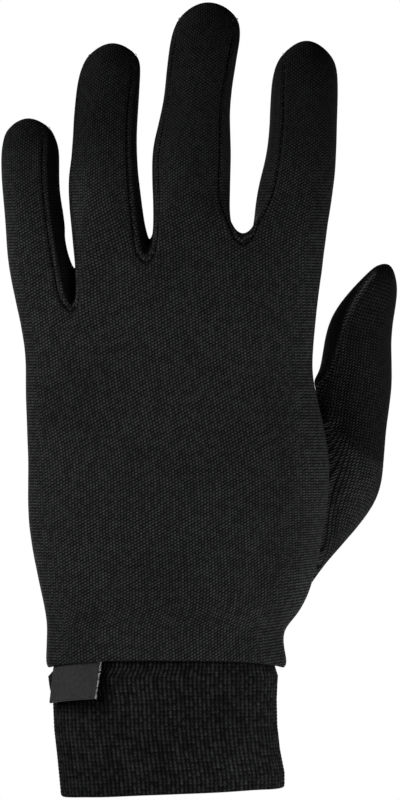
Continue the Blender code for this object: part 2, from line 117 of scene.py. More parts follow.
Web = namedtuple("Web", "name left right front middle_left middle_right middle palm")
WEBS = (
    Web("little_ring", -0.376, -0.314, 0.552, -0.338, -0.319, 0.605, 0.592),
    Web("ring_middle", -0.122, -0.060, 0.621, -0.084, -0.068, 0.648, 0.633),
    Web("middle_index", 0.200, 0.268, 0.646, 0.203, 0.263, 0.652, 0.639),
)
KNUCKLE_DEPTH = (0.44, 0.54, 0.56, 0.50)
KNUCKLE_LIFT = (0.579, 0.605, 0.634, 0.634)
LITTLE_ROOT = (-0.543, 0.590)
INDEX_ROOT = (0.505, 0.629)

Seam = namedtuple("Seam", "front palm")
PLAIN_SIDE = Seam(45, 45)
SEAMS = {
    "little": (PLAIN_SIDE, Seam(66, 16)),
    "ring": (Seam(20, 58), Seam(50, 30)),
    "middle": (Seam(33, 45), Seam(46, 34)),
    "index": (Seam(54, 28), PLAIN_SIDE),
}
SEAM_TAPER = (1.0, 1.0, 1.0, 0.90, 0.75)

HemRing = namedtuple("HemRing", "height flare")
HEM = (HemRing(0.00, 0.0), HemRing(0.27, 0.0007), HemRing(1.00, 0.0004))

Level = namedtuple("Level", "height left right front palm spread")
LEVELS = (
    Level(0.103, -0.434, 0.443, 0.545, 0.560, 0.1),
    Level(0.210, -0.478, 0.502, 0.515, 0.570, 0.3),
    Level(0.314, -0.483, 0.517, 0.490, 0.530, 0.5),
    Level(0.416, -0.491, 0.474, 0.455, 0.470, 0.7),
    Level(0.492, -0.499, 0.470, 0.420, 0.420, 0.85),
)
THUMB_FIRST, THUMB_LAST = 3, 6

ThumbRing = namedtuple("ThumbRing", "outer outer_height inner inner_height middle depth")
THUMB = (
    ThumbRing(0.592, 0.194, 0.476, 0.405, 0.542, 0.323),
    ThumbRing(0.692, 0.265, 0.475, 0.425, 0.555, 0.355),
    ThumbRing(0.712, 0.344, 0.487, 0.444, 0.535, 0.355),
    ThumbRing(0.733, 0.425, 0.503, 0.473, 0.484, 0.348),
    ThumbRing(0.733, 0.493, 0.526, 0.518, 0.426, 0.329),
    ThumbRing(0.749, 0.553, 0.583, 0.560, 0.361, 0.277),
    ThumbRing(0.746, 0.585, 0.650, 0.592, 0.323, 0.187),
)
THUMB_TIP = (0.707, 0.605, 0.306)
THUMB_TIP_SPREAD = 0.018
# The thumb's columns, in degrees from its outer side over the front; its long seam is SEAM_COLUMN.
THUMB_ANGLES = (0, 30, 60, 95, 130, 180, 216, 252, 288, 324)
SEAM_COLUMN = 4
SEAM_ANGLES = (160, 152, 140, 128, 122, 122, 124)

CuffRing = namedtuple("CuffRing", "height left right depth")
CUFF_RINGS = (
    CuffRing(0.000, -0.373, 0.372, 0.500),
    CuffRing(0.127, -0.378, 0.372, 0.500),
    CuffRing(0.317, -0.386, 0.357, 0.500),
    CuffRing(0.519, -0.396, 0.348, 0.490),
    CuffRing(0.728, -0.400, 0.346, 0.490),
    CuffRing(0.855, -0.412, 0.348, 0.490),
    CuffRing(0.930, -0.416, 0.350, 0.480),
    CuffRing(1.010, -0.386, 0.340, 0.475),
)
NECK = CUFF_RINGS[-1]
LABEL_PLACE = -0.384

HAND_NAMES = ("hand_panel", "fourchette_little_ring", "fourchette_ring_middle",
              "fourchette_middle_index", "thumb")
PANEL, THUMB_TAG = 0, 4

# Seams: a groove at the joined edges with a soft roll on each side of it, in millimetres
GROOVE_DEPTH = 0.55
GROOVE_WIDTH = 0.40
THUMB_SEAM_SHARE = 0.9
ROLL_HEIGHT = 0.28
ROLL_PLACE = 1.35
ROLL_WIDTH = 0.60
PUCKER_PITCH = 2.6
PUCKER_DEPTH = 0.03
PUCKER_WIDTH = 1.7
# Painted shade between the fingers: the fourchettes' cloth is darkened from so many millimetres off the
# seam
INNER_SHADE = {"fourchette_little_ring": 0.90, "fourchette_ring_middle": 0.80,
               "fourchette_middle_index": 0.35}
INNER_RANGE = (1.0, 2.4)

# The camera: the photograph shows 133.3 x 266.7 mm of the plane through the middle of the hand
VIEW_MIDDLE = (0.009, 0.13067)
VIEW_HEIGHT = 0.26667
LENS = 300.0
SENSOR = 36.0


def up_hand(share):
    """The height of a place on the hand above the cuff's mouth."""
    return CUFF_HEIGHT + share * HAND_LENGTH


def rounded(angle, power):
    """A point of a unit rounded section; the angle runs from +X towards the back of the hand."""
    cosine, sine = np.cos(angle), np.sin(angle)
    return (np.copysign(np.abs(cosine) ** (2 / power), cosine),
            -np.copysign(np.abs(sine) ** (2 / power), sine))


def bell(distance, width):
    """From 1 at no distance down to nearly 0 at twice the width."""
    return np.exp(-(distance / width) ** 2)


def unit(ways):
    """Directions brought to length 1."""
    return ways / np.linalg.norm(ways, axis=1)[:, None]


def between(places, along, values):
    """Points or directions at some places along a line, from those at its own points."""
    return np.stack([np.interp(places, along, values[:, axis]) for axis in range(3)], axis=1)


def add_object(name, data):
    """A new object in the scene."""
    thing = bpy.data.objects.new(name, data)
    bpy.context.scene.collection.objects.link(thing)
    return thing


# Zones of the cloth's own coordinates: a column counts round a ring and a row up it
HAND_ZONE, THUMB_ZONE, PLAIN_ZONE = 0, 5, 6
ZONE_STEP = 100
PALM_SHIFT = 10
PLACE_SLACK = 0.01


class Cage:
    """Points, and quads with their piece's tag and their corners' places in a zone."""

    def __init__(self):
        self.points = []
        self.quads = []
        self.tags = []
        self.places = []

    def add_point(self, across, depth, height):
        self.points.append(Vector((across, depth, height)))
        return len(self.points) - 1

    def add_quad(self, corners, tag, zone=PLAIN_ZONE, column=0, row=0):
        self.quads.append(tuple(corners))
        self.tags.append(tag)
        left = zone * ZONE_STEP + column
        self.places.append(((left, row), (left + 1, row), (left + 1, row + 1), (left, row + 1)))

    def add_band(self, below, above, tags, zone, columns, row, skipped=()):
        """A closed row of quads between two rings of points."""
        for i, (tag, column) in enumerate(zip(tags, columns)):
            j = (i + 1) % len(below)
            if i not in skipped:
                self.add_quad((below[i], below[j], above[j], above[i]), tag, zone, column, row)


SIDE_LEFT, FRONT_LEFT, FRONT_MID, FRONT_RIGHT, SIDE_RIGHT, PALM_RIGHT, PALM_MID, PALM_LEFT = range(8)


def finger_angles(name, taper):
    """The angle of each of the eight columns, from +X over the back of the hand."""
    left, right = SEAMS[name]
    left_front, left_palm = 180 - left.front * taper, 180 + left.palm * taper
    right_front, right_palm = right.front * taper, -right.palm * taper
    degrees = ((left_front + left_palm) / 2, left_front, (left_front + right_front) / 2, right_front,
               (right_front + right_palm) / 2, right_palm, (right_palm + left_palm - 360) / 2, left_palm)
    return [math.radians(angle) for angle in degrees]


# Each column's number in a finger's zone: the palm's two have their own run
FINGER_COLUMNS = (*range(5), PALM_RIGHT + PALM_SHIFT, PALM_MID + PALM_SHIFT, -1)


def add_finger(cage, index, root):
    """A finger from its root ring up to its tip, its sides tagged as the strips between."""
    finger = FINGERS[index]
    tags = [PANEL] * 8
    if index > 0:
        tags[SIDE_LEFT] = tags[PALM_LEFT] = index
    if index < len(FINGERS) - 1:
        tags[FRONT_RIGHT] = tags[SIDE_RIGHT] = index + 1
    below = root
    for row, (ring, taper) in enumerate(zip(finger.rings, SEAM_TAPER)):
        middle = (ring.left + ring.right) / 2 * PALM_WIDTH
        half_width = (ring.right - ring.left) / 2 * PALM_WIDTH
        half_depth = ring.depth * FINGER_DEPTH / 2
        bend = ring.bend * FINGER_DEPTH
        columns = []
        for angle in finger_angles(finger.name, taper):
            across, front = rounded(angle, FINGER_SQUARENESS)
            columns.append(cage.add_point(middle + across * half_width, bend + front * half_depth,
                                          up_hand(ring.height)))
        cage.add_band(below, columns, tags, index + 1, FINGER_COLUMNS, row)
        below = columns
    tip = cage.add_point(finger.tip.across * PALM_WIDTH, finger.tip.bend * FINGER_DEPTH,
                         up_hand(finger.tip.height))
    for corner, first, last in ((FRONT_LEFT, SIDE_LEFT, FRONT_MID),
                                (FRONT_RIGHT, FRONT_MID, SIDE_RIGHT),
                                (PALM_RIGHT, SIDE_RIGHT, PALM_MID),
                                (PALM_LEFT, PALM_MID, SIDE_LEFT)):
        cage.add_quad((below[first], below[corner], below[last], tip), PANEL)


def add_finger_roots(cage):
    """The ring where each finger leaves the hand."""
    depths = [share * FINGER_DEPTH for share in KNUCKLE_DEPTH]
    roots = []
    for index, finger in enumerate(FINGERS):
        left = WEBS[index - 1] if index > 0 else None
        right = WEBS[index] if index < len(WEBS) else None
        left_edge = left.right if left else LITTLE_ROOT[0]
        right_edge = right.left if right else INDEX_ROOT[0]
        middle, half = (left_edge + right_edge) / 2, (right_edge - left_edge) / 2
        root = []
        for column, angle in enumerate(finger_angles(finger.name, 1.0)):
            on_left = column in (FRONT_LEFT, SIDE_LEFT, PALM_LEFT)
            web = left if on_left else right
            front = rounded(angle, FINGER_SQUARENESS)[1] * depths[index]
            if column in (FRONT_MID, PALM_MID):
                across, height = middle, KNUCKLE_LIFT[index]
            elif web is None:
                across = middle + half * math.cos(angle)
                height = LITTLE_ROOT[1] if on_left else INDEX_ROOT[1]
            elif column in (SIDE_LEFT, SIDE_RIGHT):
                across, height = web.middle_right if on_left else web.middle_left, web.middle
            else:
                on_front = column in (FRONT_LEFT, FRONT_RIGHT)
                across = left_edge if on_left else right_edge
                height = web.front if on_front else web.palm
                mean = (depths[index] + depths[index - 1 if on_left else index + 1]) / 2
                front = -mean if on_front else mean
            root.append(cage.add_point(across * PALM_WIDTH, front, up_hand(height)))
        roots.append(root)
    return roots


def add_webs(cage, roots):
    """The bottoms of the gaps between the fingers."""
    for index in range(len(WEBS)):
        left, right = roots[index], roots[index + 1]
        tag = index + 1
        cage.add_quad((left[FRONT_RIGHT], right[FRONT_LEFT], right[SIDE_LEFT], left[SIDE_RIGHT]), tag)
        cage.add_quad((left[SIDE_RIGHT], right[SIDE_LEFT], right[PALM_LEFT], left[PALM_RIGHT]), tag)


def hand_ring(roots):
    """The points round the whole hand at the finger roots, from the little finger's side."""
    ring = [roots[0][SIDE_LEFT]]
    for root in roots:
        ring += [root[FRONT_LEFT], root[FRONT_MID], root[FRONT_RIGHT]]
    ring.append(roots[-1][SIDE_RIGHT])
    for root in reversed(roots):
        ring += [root[PALM_RIGHT], root[PALM_MID], root[PALM_LEFT]]
    return ring


def ring_reach(share, power):
    """How deep a unit rounded section is at a share of its half width."""
    return (1 - min(1.0, abs(share)) ** power) ** (1 / power)


def hem_points(cage, ring, count):
    """A ring of the hem that stands round the cuff's neck."""
    left, right = NECK.left * PALM_WIDTH, NECK.right * PALM_WIDTH
    outset = HEM_ROOM + CLOTH + ring.flare
    points = []
    for i in range(count):
        across, front = rounded(math.pi - 2 * math.pi * i / count, CUFF_SQUARENESS)
        points.append(cage.add_point((left + right) / 2 + across * ((right - left) / 2 + outset),
                                     front * (NECK.depth * CUFF_DEPTH + outset),
                                     CUFF_HEIGHT + ring.height * HEM_HEIGHT + HEM_RISE * front ** 2))
    return points


def level_points(cage, level, top_shares):
    """A ring of the palm, its columns spaced more like the finger roots higher up."""
    left, right = level.left * PALM_WIDTH, level.right * PALM_WIDTH
    count = len(top_shares)
    points = []
    for i, top_share in enumerate(top_shares):
        even = rounded(math.pi - 2 * math.pi * i / count, PALM_SQUARENESS)[0]
        share = even + (top_share - even) * level.spread
        depth = -level.front if 0 < i < count // 2 else level.palm
        points.append(cage.add_point((left + right) / 2 + share * (right - left) / 2,
                                     depth * ring_reach(share, PALM_SQUARENESS) * PALM_DEPTH,
                                     up_hand(level.height)))
    return points


def add_hand(cage, roots):
    """Rings from the hem up to the finger roots, with an opening left for the thumb."""
    top = hand_ring(roots)
    count = len(top)
    top_left, top_right = cage.points[top[0]].x, cage.points[top[count // 2]].x
    top_shares = [(2 * cage.points[p].x - top_left - top_right) / (top_right - top_left) for p in top]
    rings = [hem_points(cage, ring, count) for ring in HEM]
    rings += [level_points(cage, level, top_shares) for level in LEVELS]
    rings.append(top)
    thumb_columns = (count // 2 + 1, count // 2 + 2)
    for row, (below, above) in enumerate(zip(rings, rings[1:])):
        skipped = thumb_columns if THUMB_FIRST <= row < THUMB_LAST else ()
        cage.add_band(below, above, [PANEL] * count, HAND_ZONE, (*range(1, count), 0), row, skipped)
    return rings, thumb_columns


def thumb_opening(rings, columns):
    """The opening's ten points, from its lowest, up the side next to the back of the hand."""
    near, far = columns[0], columns[1] + 1
    rows = range(THUMB_FIRST, THUMB_LAST + 1)
    return ([rings[THUMB_FIRST][columns[1]]] + [rings[row][near] for row in rows]
            + [rings[THUMB_LAST][columns[1]]] + [rings[row][far] for row in reversed(rows)])


# Each column's number in the thumb's zone: the last two come before the first
THUMB_NUMBERS = (*range(8), -2, -1)


def add_thumb(cage, opening):
    """The thumb from its opening in the hand up to its rounded tip."""
    below = opening
    for row, ring in enumerate(THUMB):
        outer = Vector((ring.outer * PALM_WIDTH, ring.middle * PALM_DEPTH, up_hand(ring.outer_height)))
        inner = Vector((ring.inner * PALM_WIDTH, ring.middle * PALM_DEPTH, up_hand(ring.inner_height)))
        middle, half = (outer + inner) / 2, (outer - inner) / 2
        columns = []
        for column, degrees in enumerate(THUMB_ANGLES):
            if column == SEAM_COLUMN:
                degrees = SEAM_ANGLES[row]
            across, front = rounded(math.radians(degrees), FINGER_SQUARENESS)
            place = middle + half * across + Vector((0, front * ring.depth * PALM_DEPTH, 0))
            columns.append(cage.add_point(*place))
        cage.add_band(below, columns, [THUMB_TAG] * len(columns), THUMB_ZONE, THUMB_NUMBERS, row)
        below = columns
    across, height, depth = THUMB_TIP
    crest = [cage.add_point((across + shift) * PALM_WIDTH, depth * PALM_DEPTH, up_hand(height))
             for shift in (THUMB_TIP_SPREAD, -THUMB_TIP_SPREAD)]
    front = below[1:5]
    ridge = [below[0], crest[0], crest[1], below[5]]
    palm = [below[9], below[8], below[7], below[6]]
    for i in range(3):
        cage.add_quad((front[i], front[i + 1], ridge[i + 1], ridge[i]), THUMB_TAG)
        cage.add_quad((ridge[i], ridge[i + 1], palm[i + 1], palm[i]), THUMB_TAG)


class Surface:
    """Arrays of an evaluated form: points, normals, quads, tags and the quads' corner places."""

    def __init__(self, shape):
        bpy.context.view_layer.update()
        result = shape.evaluated_get(bpy.context.evaluated_depsgraph_get())
        mesh = result.to_mesh()
        self.points = read(mesh.vertices, "co", 3)
        self.normals = read(mesh.vertices, "normal", 3)
        self.quads = read(mesh.loops, "vertex_index", 1, int).reshape(-1, 4)
        self.tags = read(mesh.polygons, "material_index", 1, int).ravel()
        self.places = read(mesh.uv_layers["place"].data, "uv", 2).reshape(-1, 4, 2)
        result.to_mesh_clear()


def read(items, name, width, kind=float):
    """One property of many mesh items as an array."""
    values = np.zeros(len(items) * width, dtype=np.float32 if kind is float else np.int32)
    items.foreach_get(name, values)
    return values.reshape(-1, width).astype(kind)


def hand_surfaces():
    """The hand's fine surface and its coarser lining surface."""
    cage = Cage()
    roots = add_finger_roots(cage)
    for index in range(len(FINGERS)):
        add_finger(cage, index, roots[index])
    add_webs(cage, roots)
    rings, columns = add_hand(cage, roots)
    add_thumb(cage, thumb_opening(rings, columns))

    mesh = bpy.data.meshes.new("hand_form")
    turned = [-1 if tag == THUMB_TAG else 1 for tag in cage.tags]
    mesh.from_pydata(cage.points, [], [quad[::way] for quad, way in zip(cage.quads, turned)])
    for _ in HAND_NAMES:
        mesh.materials.append(None)
    place = mesh.uv_layers.new(name="place")
    corners = [corner for places, way in zip(cage.places, turned) for corner in places[::way]]
    place.data.foreach_set("uv", np.array(corners, dtype=np.float32).ravel())
    mesh.polygons.foreach_set("material_index", np.array(cage.tags, dtype=np.int32))

    form = add_object("hand_form", mesh)
    smooth = form.modifiers.new("smooth", "SUBSURF")
    smooth.uv_smooth = "NONE"
    smooth.levels = smooth.render_levels = 1
    wanted = np.array([point[:] for point in cage.points])
    held = wanted.copy()
    for _ in range(CAGE_FITS):
        held += wanted - Surface(form).points[:len(wanted)]
        mesh.vertices.foreach_set("co", held.ravel())
        mesh.update()
    smooth.levels = smooth.render_levels = LINING_LEVELS
    lining = Surface(form)
    smooth.levels = smooth.render_levels = FINE_LEVELS
    fine = Surface(form)
    bpy.data.objects.remove(form)
    return fine, lining


def lengths_along(line):
    """The distance along a line at each of its points, from its first."""
    return np.concatenate([[0.0], np.cumsum(np.linalg.norm(np.diff(line, axis=0), axis=1))])


def arc_lengths(points, column):
    """Level millimetres along the rows of a grid of points, from one of its columns."""
    steps = np.linalg.norm(np.diff(points[..., :2], axis=1), axis=2) / MM
    lengths = np.concatenate([np.zeros((len(points), 1)), np.cumsum(steps, axis=1)], axis=1)
    return lengths - lengths[:, [int(column * STEPS)]]


def zone_corners(surface, zone, first, columns):
    """Which quads lie in a zone's columns, and their corners' rows and columns in its grid."""
    column = surface.places[..., 0] - zone * ZONE_STEP - first
    inside = (column.min(axis=1) > -PLACE_SLACK) & (column.max(axis=1) < columns + PLACE_SLACK)
    row = surface.places[inside][..., 1]
    return inside, np.rint(row * STEPS).astype(int), np.rint(column[inside] * STEPS).astype(int)


def zone_grid(surface, zone, first, columns, rows):
    """The vertex numbers of a zone's grid, a row for each step up it; -1 where it has none."""
    grid = np.full((rows * STEPS + 1, columns * STEPS + 1), -1)
    inside, i, j = zone_corners(surface, zone, first, columns)
    grid[i.ravel(), j.ravel()] = surface.quads[inside].ravel()
    return grid


def grid_points(surface, grid):
    """The grid's points, with a gap in a row bridged straight."""
    points = surface.points[np.maximum(grid, 0)]
    for row, numbers in enumerate(grid):
        gap, here = np.nonzero(numbers < 0)[0], np.nonzero(numbers >= 0)[0]
        for axis in range(3):
            points[row, gap, axis] = np.interp(gap, here, points[row, here, axis])
    return points


HAND_COLUMNS, HAND_ROWS, FINGER_ROWS = 26, 8, 5
HAND_MIDDLE = 7.5       # the column, from the zone's first, that lies on the middle of the back
PALM_COLUMN = 15        # the hand's column where the index finger's palm side begins
THUMB_COLUMNS, THUMB_FIRST_COLUMN = 10, -2
THUMB_MIDDLE = 5        # the thumb's column, from its zone's first, from which its wales are counted
THUMB_PALM = 5          # the thumb's column where its palm side begins
FingerRun = namedtuple("FingerRun", "first columns centre on_palm")
FINGER_RUNS = (FingerRun(-1, 6, 3, False), FingerRun(PALM_RIGHT + PALM_SHIFT, 2, 1, True))
WALE_GATHER = 1.30      # how much closer the wales lie on a finger than on the hand
GATHER_ROWS = 3.0       # the rows up a finger over which they gather
TIP_REACH = 0.013       # how far from the finger's middle its tip reaches
THUMB_TILT = 0.30       # how far the courses rise across the thumb
COURSE_TILT = 0.125     # how far the courses rise towards the thumb low on its side
TILT_ACROSS, TILT_DOWN = (0.0, 0.03), (-0.105, -0.07)
TURN_COLUMNS = (6.0, 7.5)   # where the wales of the thumb's palm side turn round its outer side


def lay(place, surface, zone, first, across, up):
    """Gives the quads in a zone's columns their cloth coordinates from two grids."""
    inside, i, j = zone_corners(surface, zone, first, (across.shape[1] - 1) / STEPS)
    place[inside] = np.stack([across[i, j], up[i, j]], axis=-1)


def lay_finger(place, surface, index, top_across):
    """Lays a finger's cloth on from the hand's top row, and over its tip."""
    for run in FINGER_RUNS:
        grid = zone_grid(surface, index + 1, run.first, run.columns, FINGER_ROWS)
        points = grid_points(surface, grid)
        start = PALM_COLUMN + 3 * (len(FINGERS) - 1 - index) if run.on_palm else 3 * index
        gather = smooth_step(np.arange(len(points)) / STEPS, 0.0, GATHER_ROWS)[:, None]
        across = arc_lengths(points, run.centre) * (1 + (WALE_GATHER - 1) * gather)
        across += top_across[(start + run.centre) * STEPS]
        lay(place, surface, index + 1, run.first, across, points[..., 2] / MM)
        if run.on_palm:
            continue
        corners = surface.points[surface.quads]
        centres = corners.mean(axis=1)
        middle = surface.points[grid[-1, run.centre * STEPS]]
        tip = plain_quads(surface) & (surface.tags == PANEL) & (centres[:, 2] > middle[2] - MM) \
            & (np.abs(centres[:, 0] - middle[0]) < TIP_REACH)
        place[tip] = corners[tip][..., [0, 2]] / MM
        spread = place[tip, :, 0] - middle[0] / MM
        place[tip, :, 0] = across[-1, run.centre * STEPS] + spread * WALE_GATHER


def lay_thumb(place, surface):
    """Lays the thumb's cloth round its front, and its palm side by itself."""
    first = THUMB_FIRST_COLUMN
    points = grid_points(surface, zone_grid(surface, THUMB_ZONE, first, THUMB_COLUMNS, len(THUMB)))
    up = (points[..., 2] - THUMB_TILT * points[..., 0]) / MM
    lay(place, surface, THUMB_ZONE, first, -arc_lengths(points, THUMB_MIDDLE), up)
    column = np.arange(points.shape[1]) / STEPS + first
    crest = points[..., 1].max(axis=1, keepdims=True)
    turned = np.maximum(column < PLACE_SLACK, smooth_step(column, *TURN_COLUMNS))
    across = (points[..., 0] - turned * (points[..., 1] - crest)) / MM
    outer, inner = slice(0, -first * STEPS + 1), slice((THUMB_PALM - first) * STEPS, None)
    for start, part in ((first, outer), (THUMB_PALM, inner)):
        lay(place, surface, THUMB_ZONE, start, across[:, part], up[:, part])


def plain_quads(surface):
    """Which quads belong to no zone."""
    return (surface.places[..., 0] >= PLAIN_ZONE * ZONE_STEP).all(axis=1)


def cloth_coordinates(surface):
    """Millimetres across and up the cloth at each corner of each quad."""
    place = np.zeros(surface.places.shape)
    corners = surface.points[surface.quads]
    hand = grid_points(surface, zone_grid(surface, HAND_ZONE, 0, HAND_COLUMNS, HAND_ROWS))
    across = arc_lengths(hand, HAND_MIDDLE)
    lay(place, surface, HAND_ZONE, 0, across, hand[..., 2] / MM)
    for index in range(len(FINGERS)):
        lay_finger(place, surface, index, across[-1])
    lay_thumb(place, surface)
    tilt = smooth_step(corners[..., 0], *TILT_ACROSS) * smooth_step(-corners[..., 2], *TILT_DOWN)
    place[..., 1] -= COURSE_TILT * tilt * (surface.tags == PANEL)[:, None] * corners[..., 0] / MM
    rest = plain_quads(surface) & (surface.tags != PANEL)
    place[rest, :, 0] = corners[rest][..., 0] / MM
    place[rest, :, 1] = (corners[rest][..., 2] + np.abs(corners[rest][..., 1])) / MM
    return place


def seam_loop(surface, tag):
    """The vertex numbers along the closed seam round a piece, in order."""
    start = surface.quads
    end = np.roll(surface.quads, -1, axis=1)
    count = len(surface.points)
    key = (np.minimum(start, end).astype(np.int64) * count + np.maximum(start, end)).ravel()
    tags = np.repeat(surface.tags, 4)
    order = np.argsort(key, kind="stable")
    key, tags = key[order], tags[order]
    shared = key[1:] == key[:-1]
    differ = (tags[1:] == tag) != (tags[:-1] == tag)
    next_to = {}
    for number in key[1:][shared & differ]:
        a, b = divmod(int(number), count)
        next_to.setdefault(a, []).append(b)
        next_to.setdefault(b, []).append(a)
    loop = [min(next_to)]
    before = None
    while True:
        step = [p for p in next_to[loop[-1]] if p != before]
        before = loop[-1]
        if not step or step[0] == loop[0]:
            return loop
        loop.append(step[0])


def resampled(line, pitch):
    """Points at even distances along a line, and their distances, in metres."""
    along = lengths_along(line)
    places = np.arange(0.0, along[-1], pitch)
    return between(places, along, line), places


def seam_lines(surface):
    """Each seam as a line of vertex numbers: the closed ones round the pieces, and up the thumb."""
    lines = {HAND_NAMES[tag]: seam_loop(surface, tag) for tag in range(1, len(HAND_NAMES))}
    for name, loop in lines.items():
        lines[name] = loop + loop[:1]
    thumb = zone_grid(surface, THUMB_ZONE, THUMB_FIRST_COLUMN, THUMB_COLUMNS, len(THUMB))
    lines["thumb_length"] = list(thumb[:, (SEAM_COLUMN - THUMB_FIRST_COLUMN) * STEPS])
    return lines


def smooth_step(values, low, high):
    """From 0 at low to 1 at high, easy at both ends."""
    share = np.clip((values - low) / (high - low), 0, 1)
    return share * share * (3 - 2 * share)


# Folds of the cloth seen from the back of the hand: points across and up in millimetres, then the
# valley's depth and its widths above and below the line
Fold = namedtuple("Fold", "line depth above below")
FOLD_FACING = (0.05, 0.4)
FOLD_END = 0.2          # the share of the line over which it fades at each end
FOLDS = (
    Fold(((50.0, 123.0), (54.0, 120.3), (59.0, 117.3), (62.5, 115.0), (67.3, 111.7), (70.5, 109.8)),
         1.3, 3.6, 0.8),
    Fold(((50.0, 102.0), (55.0, 95.5), (57.0, 89.0)), 0.3, 2.0, 2.6),
)


def fold_shift(points, normals, fold):
    """Millimetres in or out along the cloth's own direction for one fold."""
    flat = points[:, [0, 2]] / MM
    nearest = np.full(len(points), 1e9)
    side = np.zeros(len(points))
    passed = np.zeros(len(points))
    line = np.array(fold.line)
    for number, (a, b) in enumerate(zip(line, line[1:])):
        along = b - a
        share = np.clip(((flat - a) @ along) / (along @ along), 0, 1)
        offset = flat - (a + share[:, None] * along)
        distance = np.linalg.norm(offset, axis=1)
        closer = distance < nearest
        nearest[closer] = distance[closer]
        across = along[0] * offset[:, 1] - along[1] * offset[:, 0]
        side[closer] = np.sign(across[closer])
        passed[closer] = (number + share[closer]) / (len(line) - 1)
    facing = smooth_step(-normals[:, 1], *FOLD_FACING)
    width = np.where(side > 0, fold.above, fold.below)
    fade = smooth_step(passed, 0.0, FOLD_END) * smooth_step(1 - passed, 0.0, FOLD_END)
    return -fold.depth * bell(nearest, width) * facing * fade


def soft_noise(points, size, seed):
    """Smooth noise between about -1 and 1 whose swells are that many metres across."""
    shift = Vector((seed * 7.3, seed * 3.1, seed * 5.7))
    return np.array([noise.noise(Vector(point) / size + shift) for point in points])


SEAM_ROUNDING = 5       # samples each way that a closed seam's corners are rounded over
SEAM_SAMPLE = 0.00025
SEAM_FADE, FADE_RANGE = 0.85, (-0.009, -0.001)      # towards the end of the finger
UNEVENNESS = ((0.22, 24), (0.07, 7))                # height and size of the swells in millimetres


def rounded_line(places):
    """A closed line with its corners rounded."""
    steps = range(-SEAM_ROUNDING, SEAM_ROUNDING + 1)
    return sum(np.roll(places, step, axis=0) for step in steps) / len(steps)


def seam_strength(places):
    """How strongly a seam shows: it fades towards the end of the finger that it runs up."""
    middles = np.array([(finger.rings[2].left + finger.rings[2].right) / 2 for finger in FINGERS])
    ends = np.array([up_hand(finger.rings[-1].height) for finger in FINGERS])
    finger = np.abs(places[:, :1] - middles * PALM_WIDTH).argmin(axis=1)
    return 1 - SEAM_FADE * smooth_step(places[:, 2] - ends[finger], *FADE_RANGE)


def dress(surface, lines):
    """Moves the fine surface's points into seams, puckers and folds; returns the seams' darkness."""
    samples, along, strength = [], [], []
    for name, numbers in lines.items():
        places, distance = resampled(surface.points[numbers], SEAM_SAMPLE)
        if name.startswith("fourchette"):
            places = rounded_line(places)
            strength.append(seam_strength(places))
        else:
            strength.append(np.full(len(places), THUMB_SEAM_SHARE))
        samples.append(places)
        along.append(distance / MM)
    samples, along, strength = (np.concatenate(part) for part in (samples, along, strength))
    tree = KDTree(len(samples))
    for i, place in enumerate(samples):
        tree.insert(place, i)
    tree.balance()
    found = [tree.find(point) for point in surface.points]
    distance = np.array([hit[2] for hit in found]) / MM
    number = np.array([hit[1] for hit in found])
    strength = strength[number]
    groove = bell(distance, GROOVE_WIDTH) * strength
    shift = -GROOVE_DEPTH * groove
    shift += ROLL_HEIGHT * bell(distance - ROLL_PLACE, ROLL_WIDTH) * strength
    wave = 0.5 + 0.5 * np.cos(2 * np.pi * along[number] / PUCKER_PITCH)
    shift -= PUCKER_DEPTH * wave * bell(distance, PUCKER_WIDTH)
    for fold in FOLDS:
        shift += fold_shift(surface.points, surface.normals, fold)
    for seed, (height, size) in enumerate(UNEVENNESS, start=1):
        shift += height * soft_noise(surface.points, size * MM, seed)
    surface.points = surface.points + surface.normals * shift[:, None] * MM
    return groove, distance


def set_values(piece, name, values):
    """Gives the piece a number at each point for its material to read."""
    attribute = piece.data.attributes.new(name, "FLOAT", "POINT")
    attribute.data.foreach_set("value", np.asarray(values, dtype=np.float32))


def new_piece(name, points, faces, uv, material):
    """A smooth piece with its cloth coordinates in millimetres, riding on the one body."""
    mesh = bpy.data.meshes.new(name)
    mesh.from_pydata(points.tolist(), [], faces.tolist())
    cloth = mesh.uv_layers.new(name="cloth")
    cloth.data.foreach_set("uv", np.asarray(uv, dtype=np.float32).ravel())
    mesh.materials.append(material)
    mesh.shade_smooth()
    piece = add_object(name, mesh)
    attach(piece, "root")
    return piece


# The turned hem: how thick it is, how far the cloth goes back up inside, and its rounding's steps
HEM_THICK = 0.0014
HEM_TURN = 0.0070
HEM_STEPS = 6
HEM_TURN_SHARES = (0.3, 0.65, 1.0)
HEM_RING = 0.4          # millimetres of cloth laid on each of its rings
# Painted shade on the rings that turn under the hem's edge
HEM_SHADE = 0.9
HEM_START = max(1, round(3 * STEPS / 16))


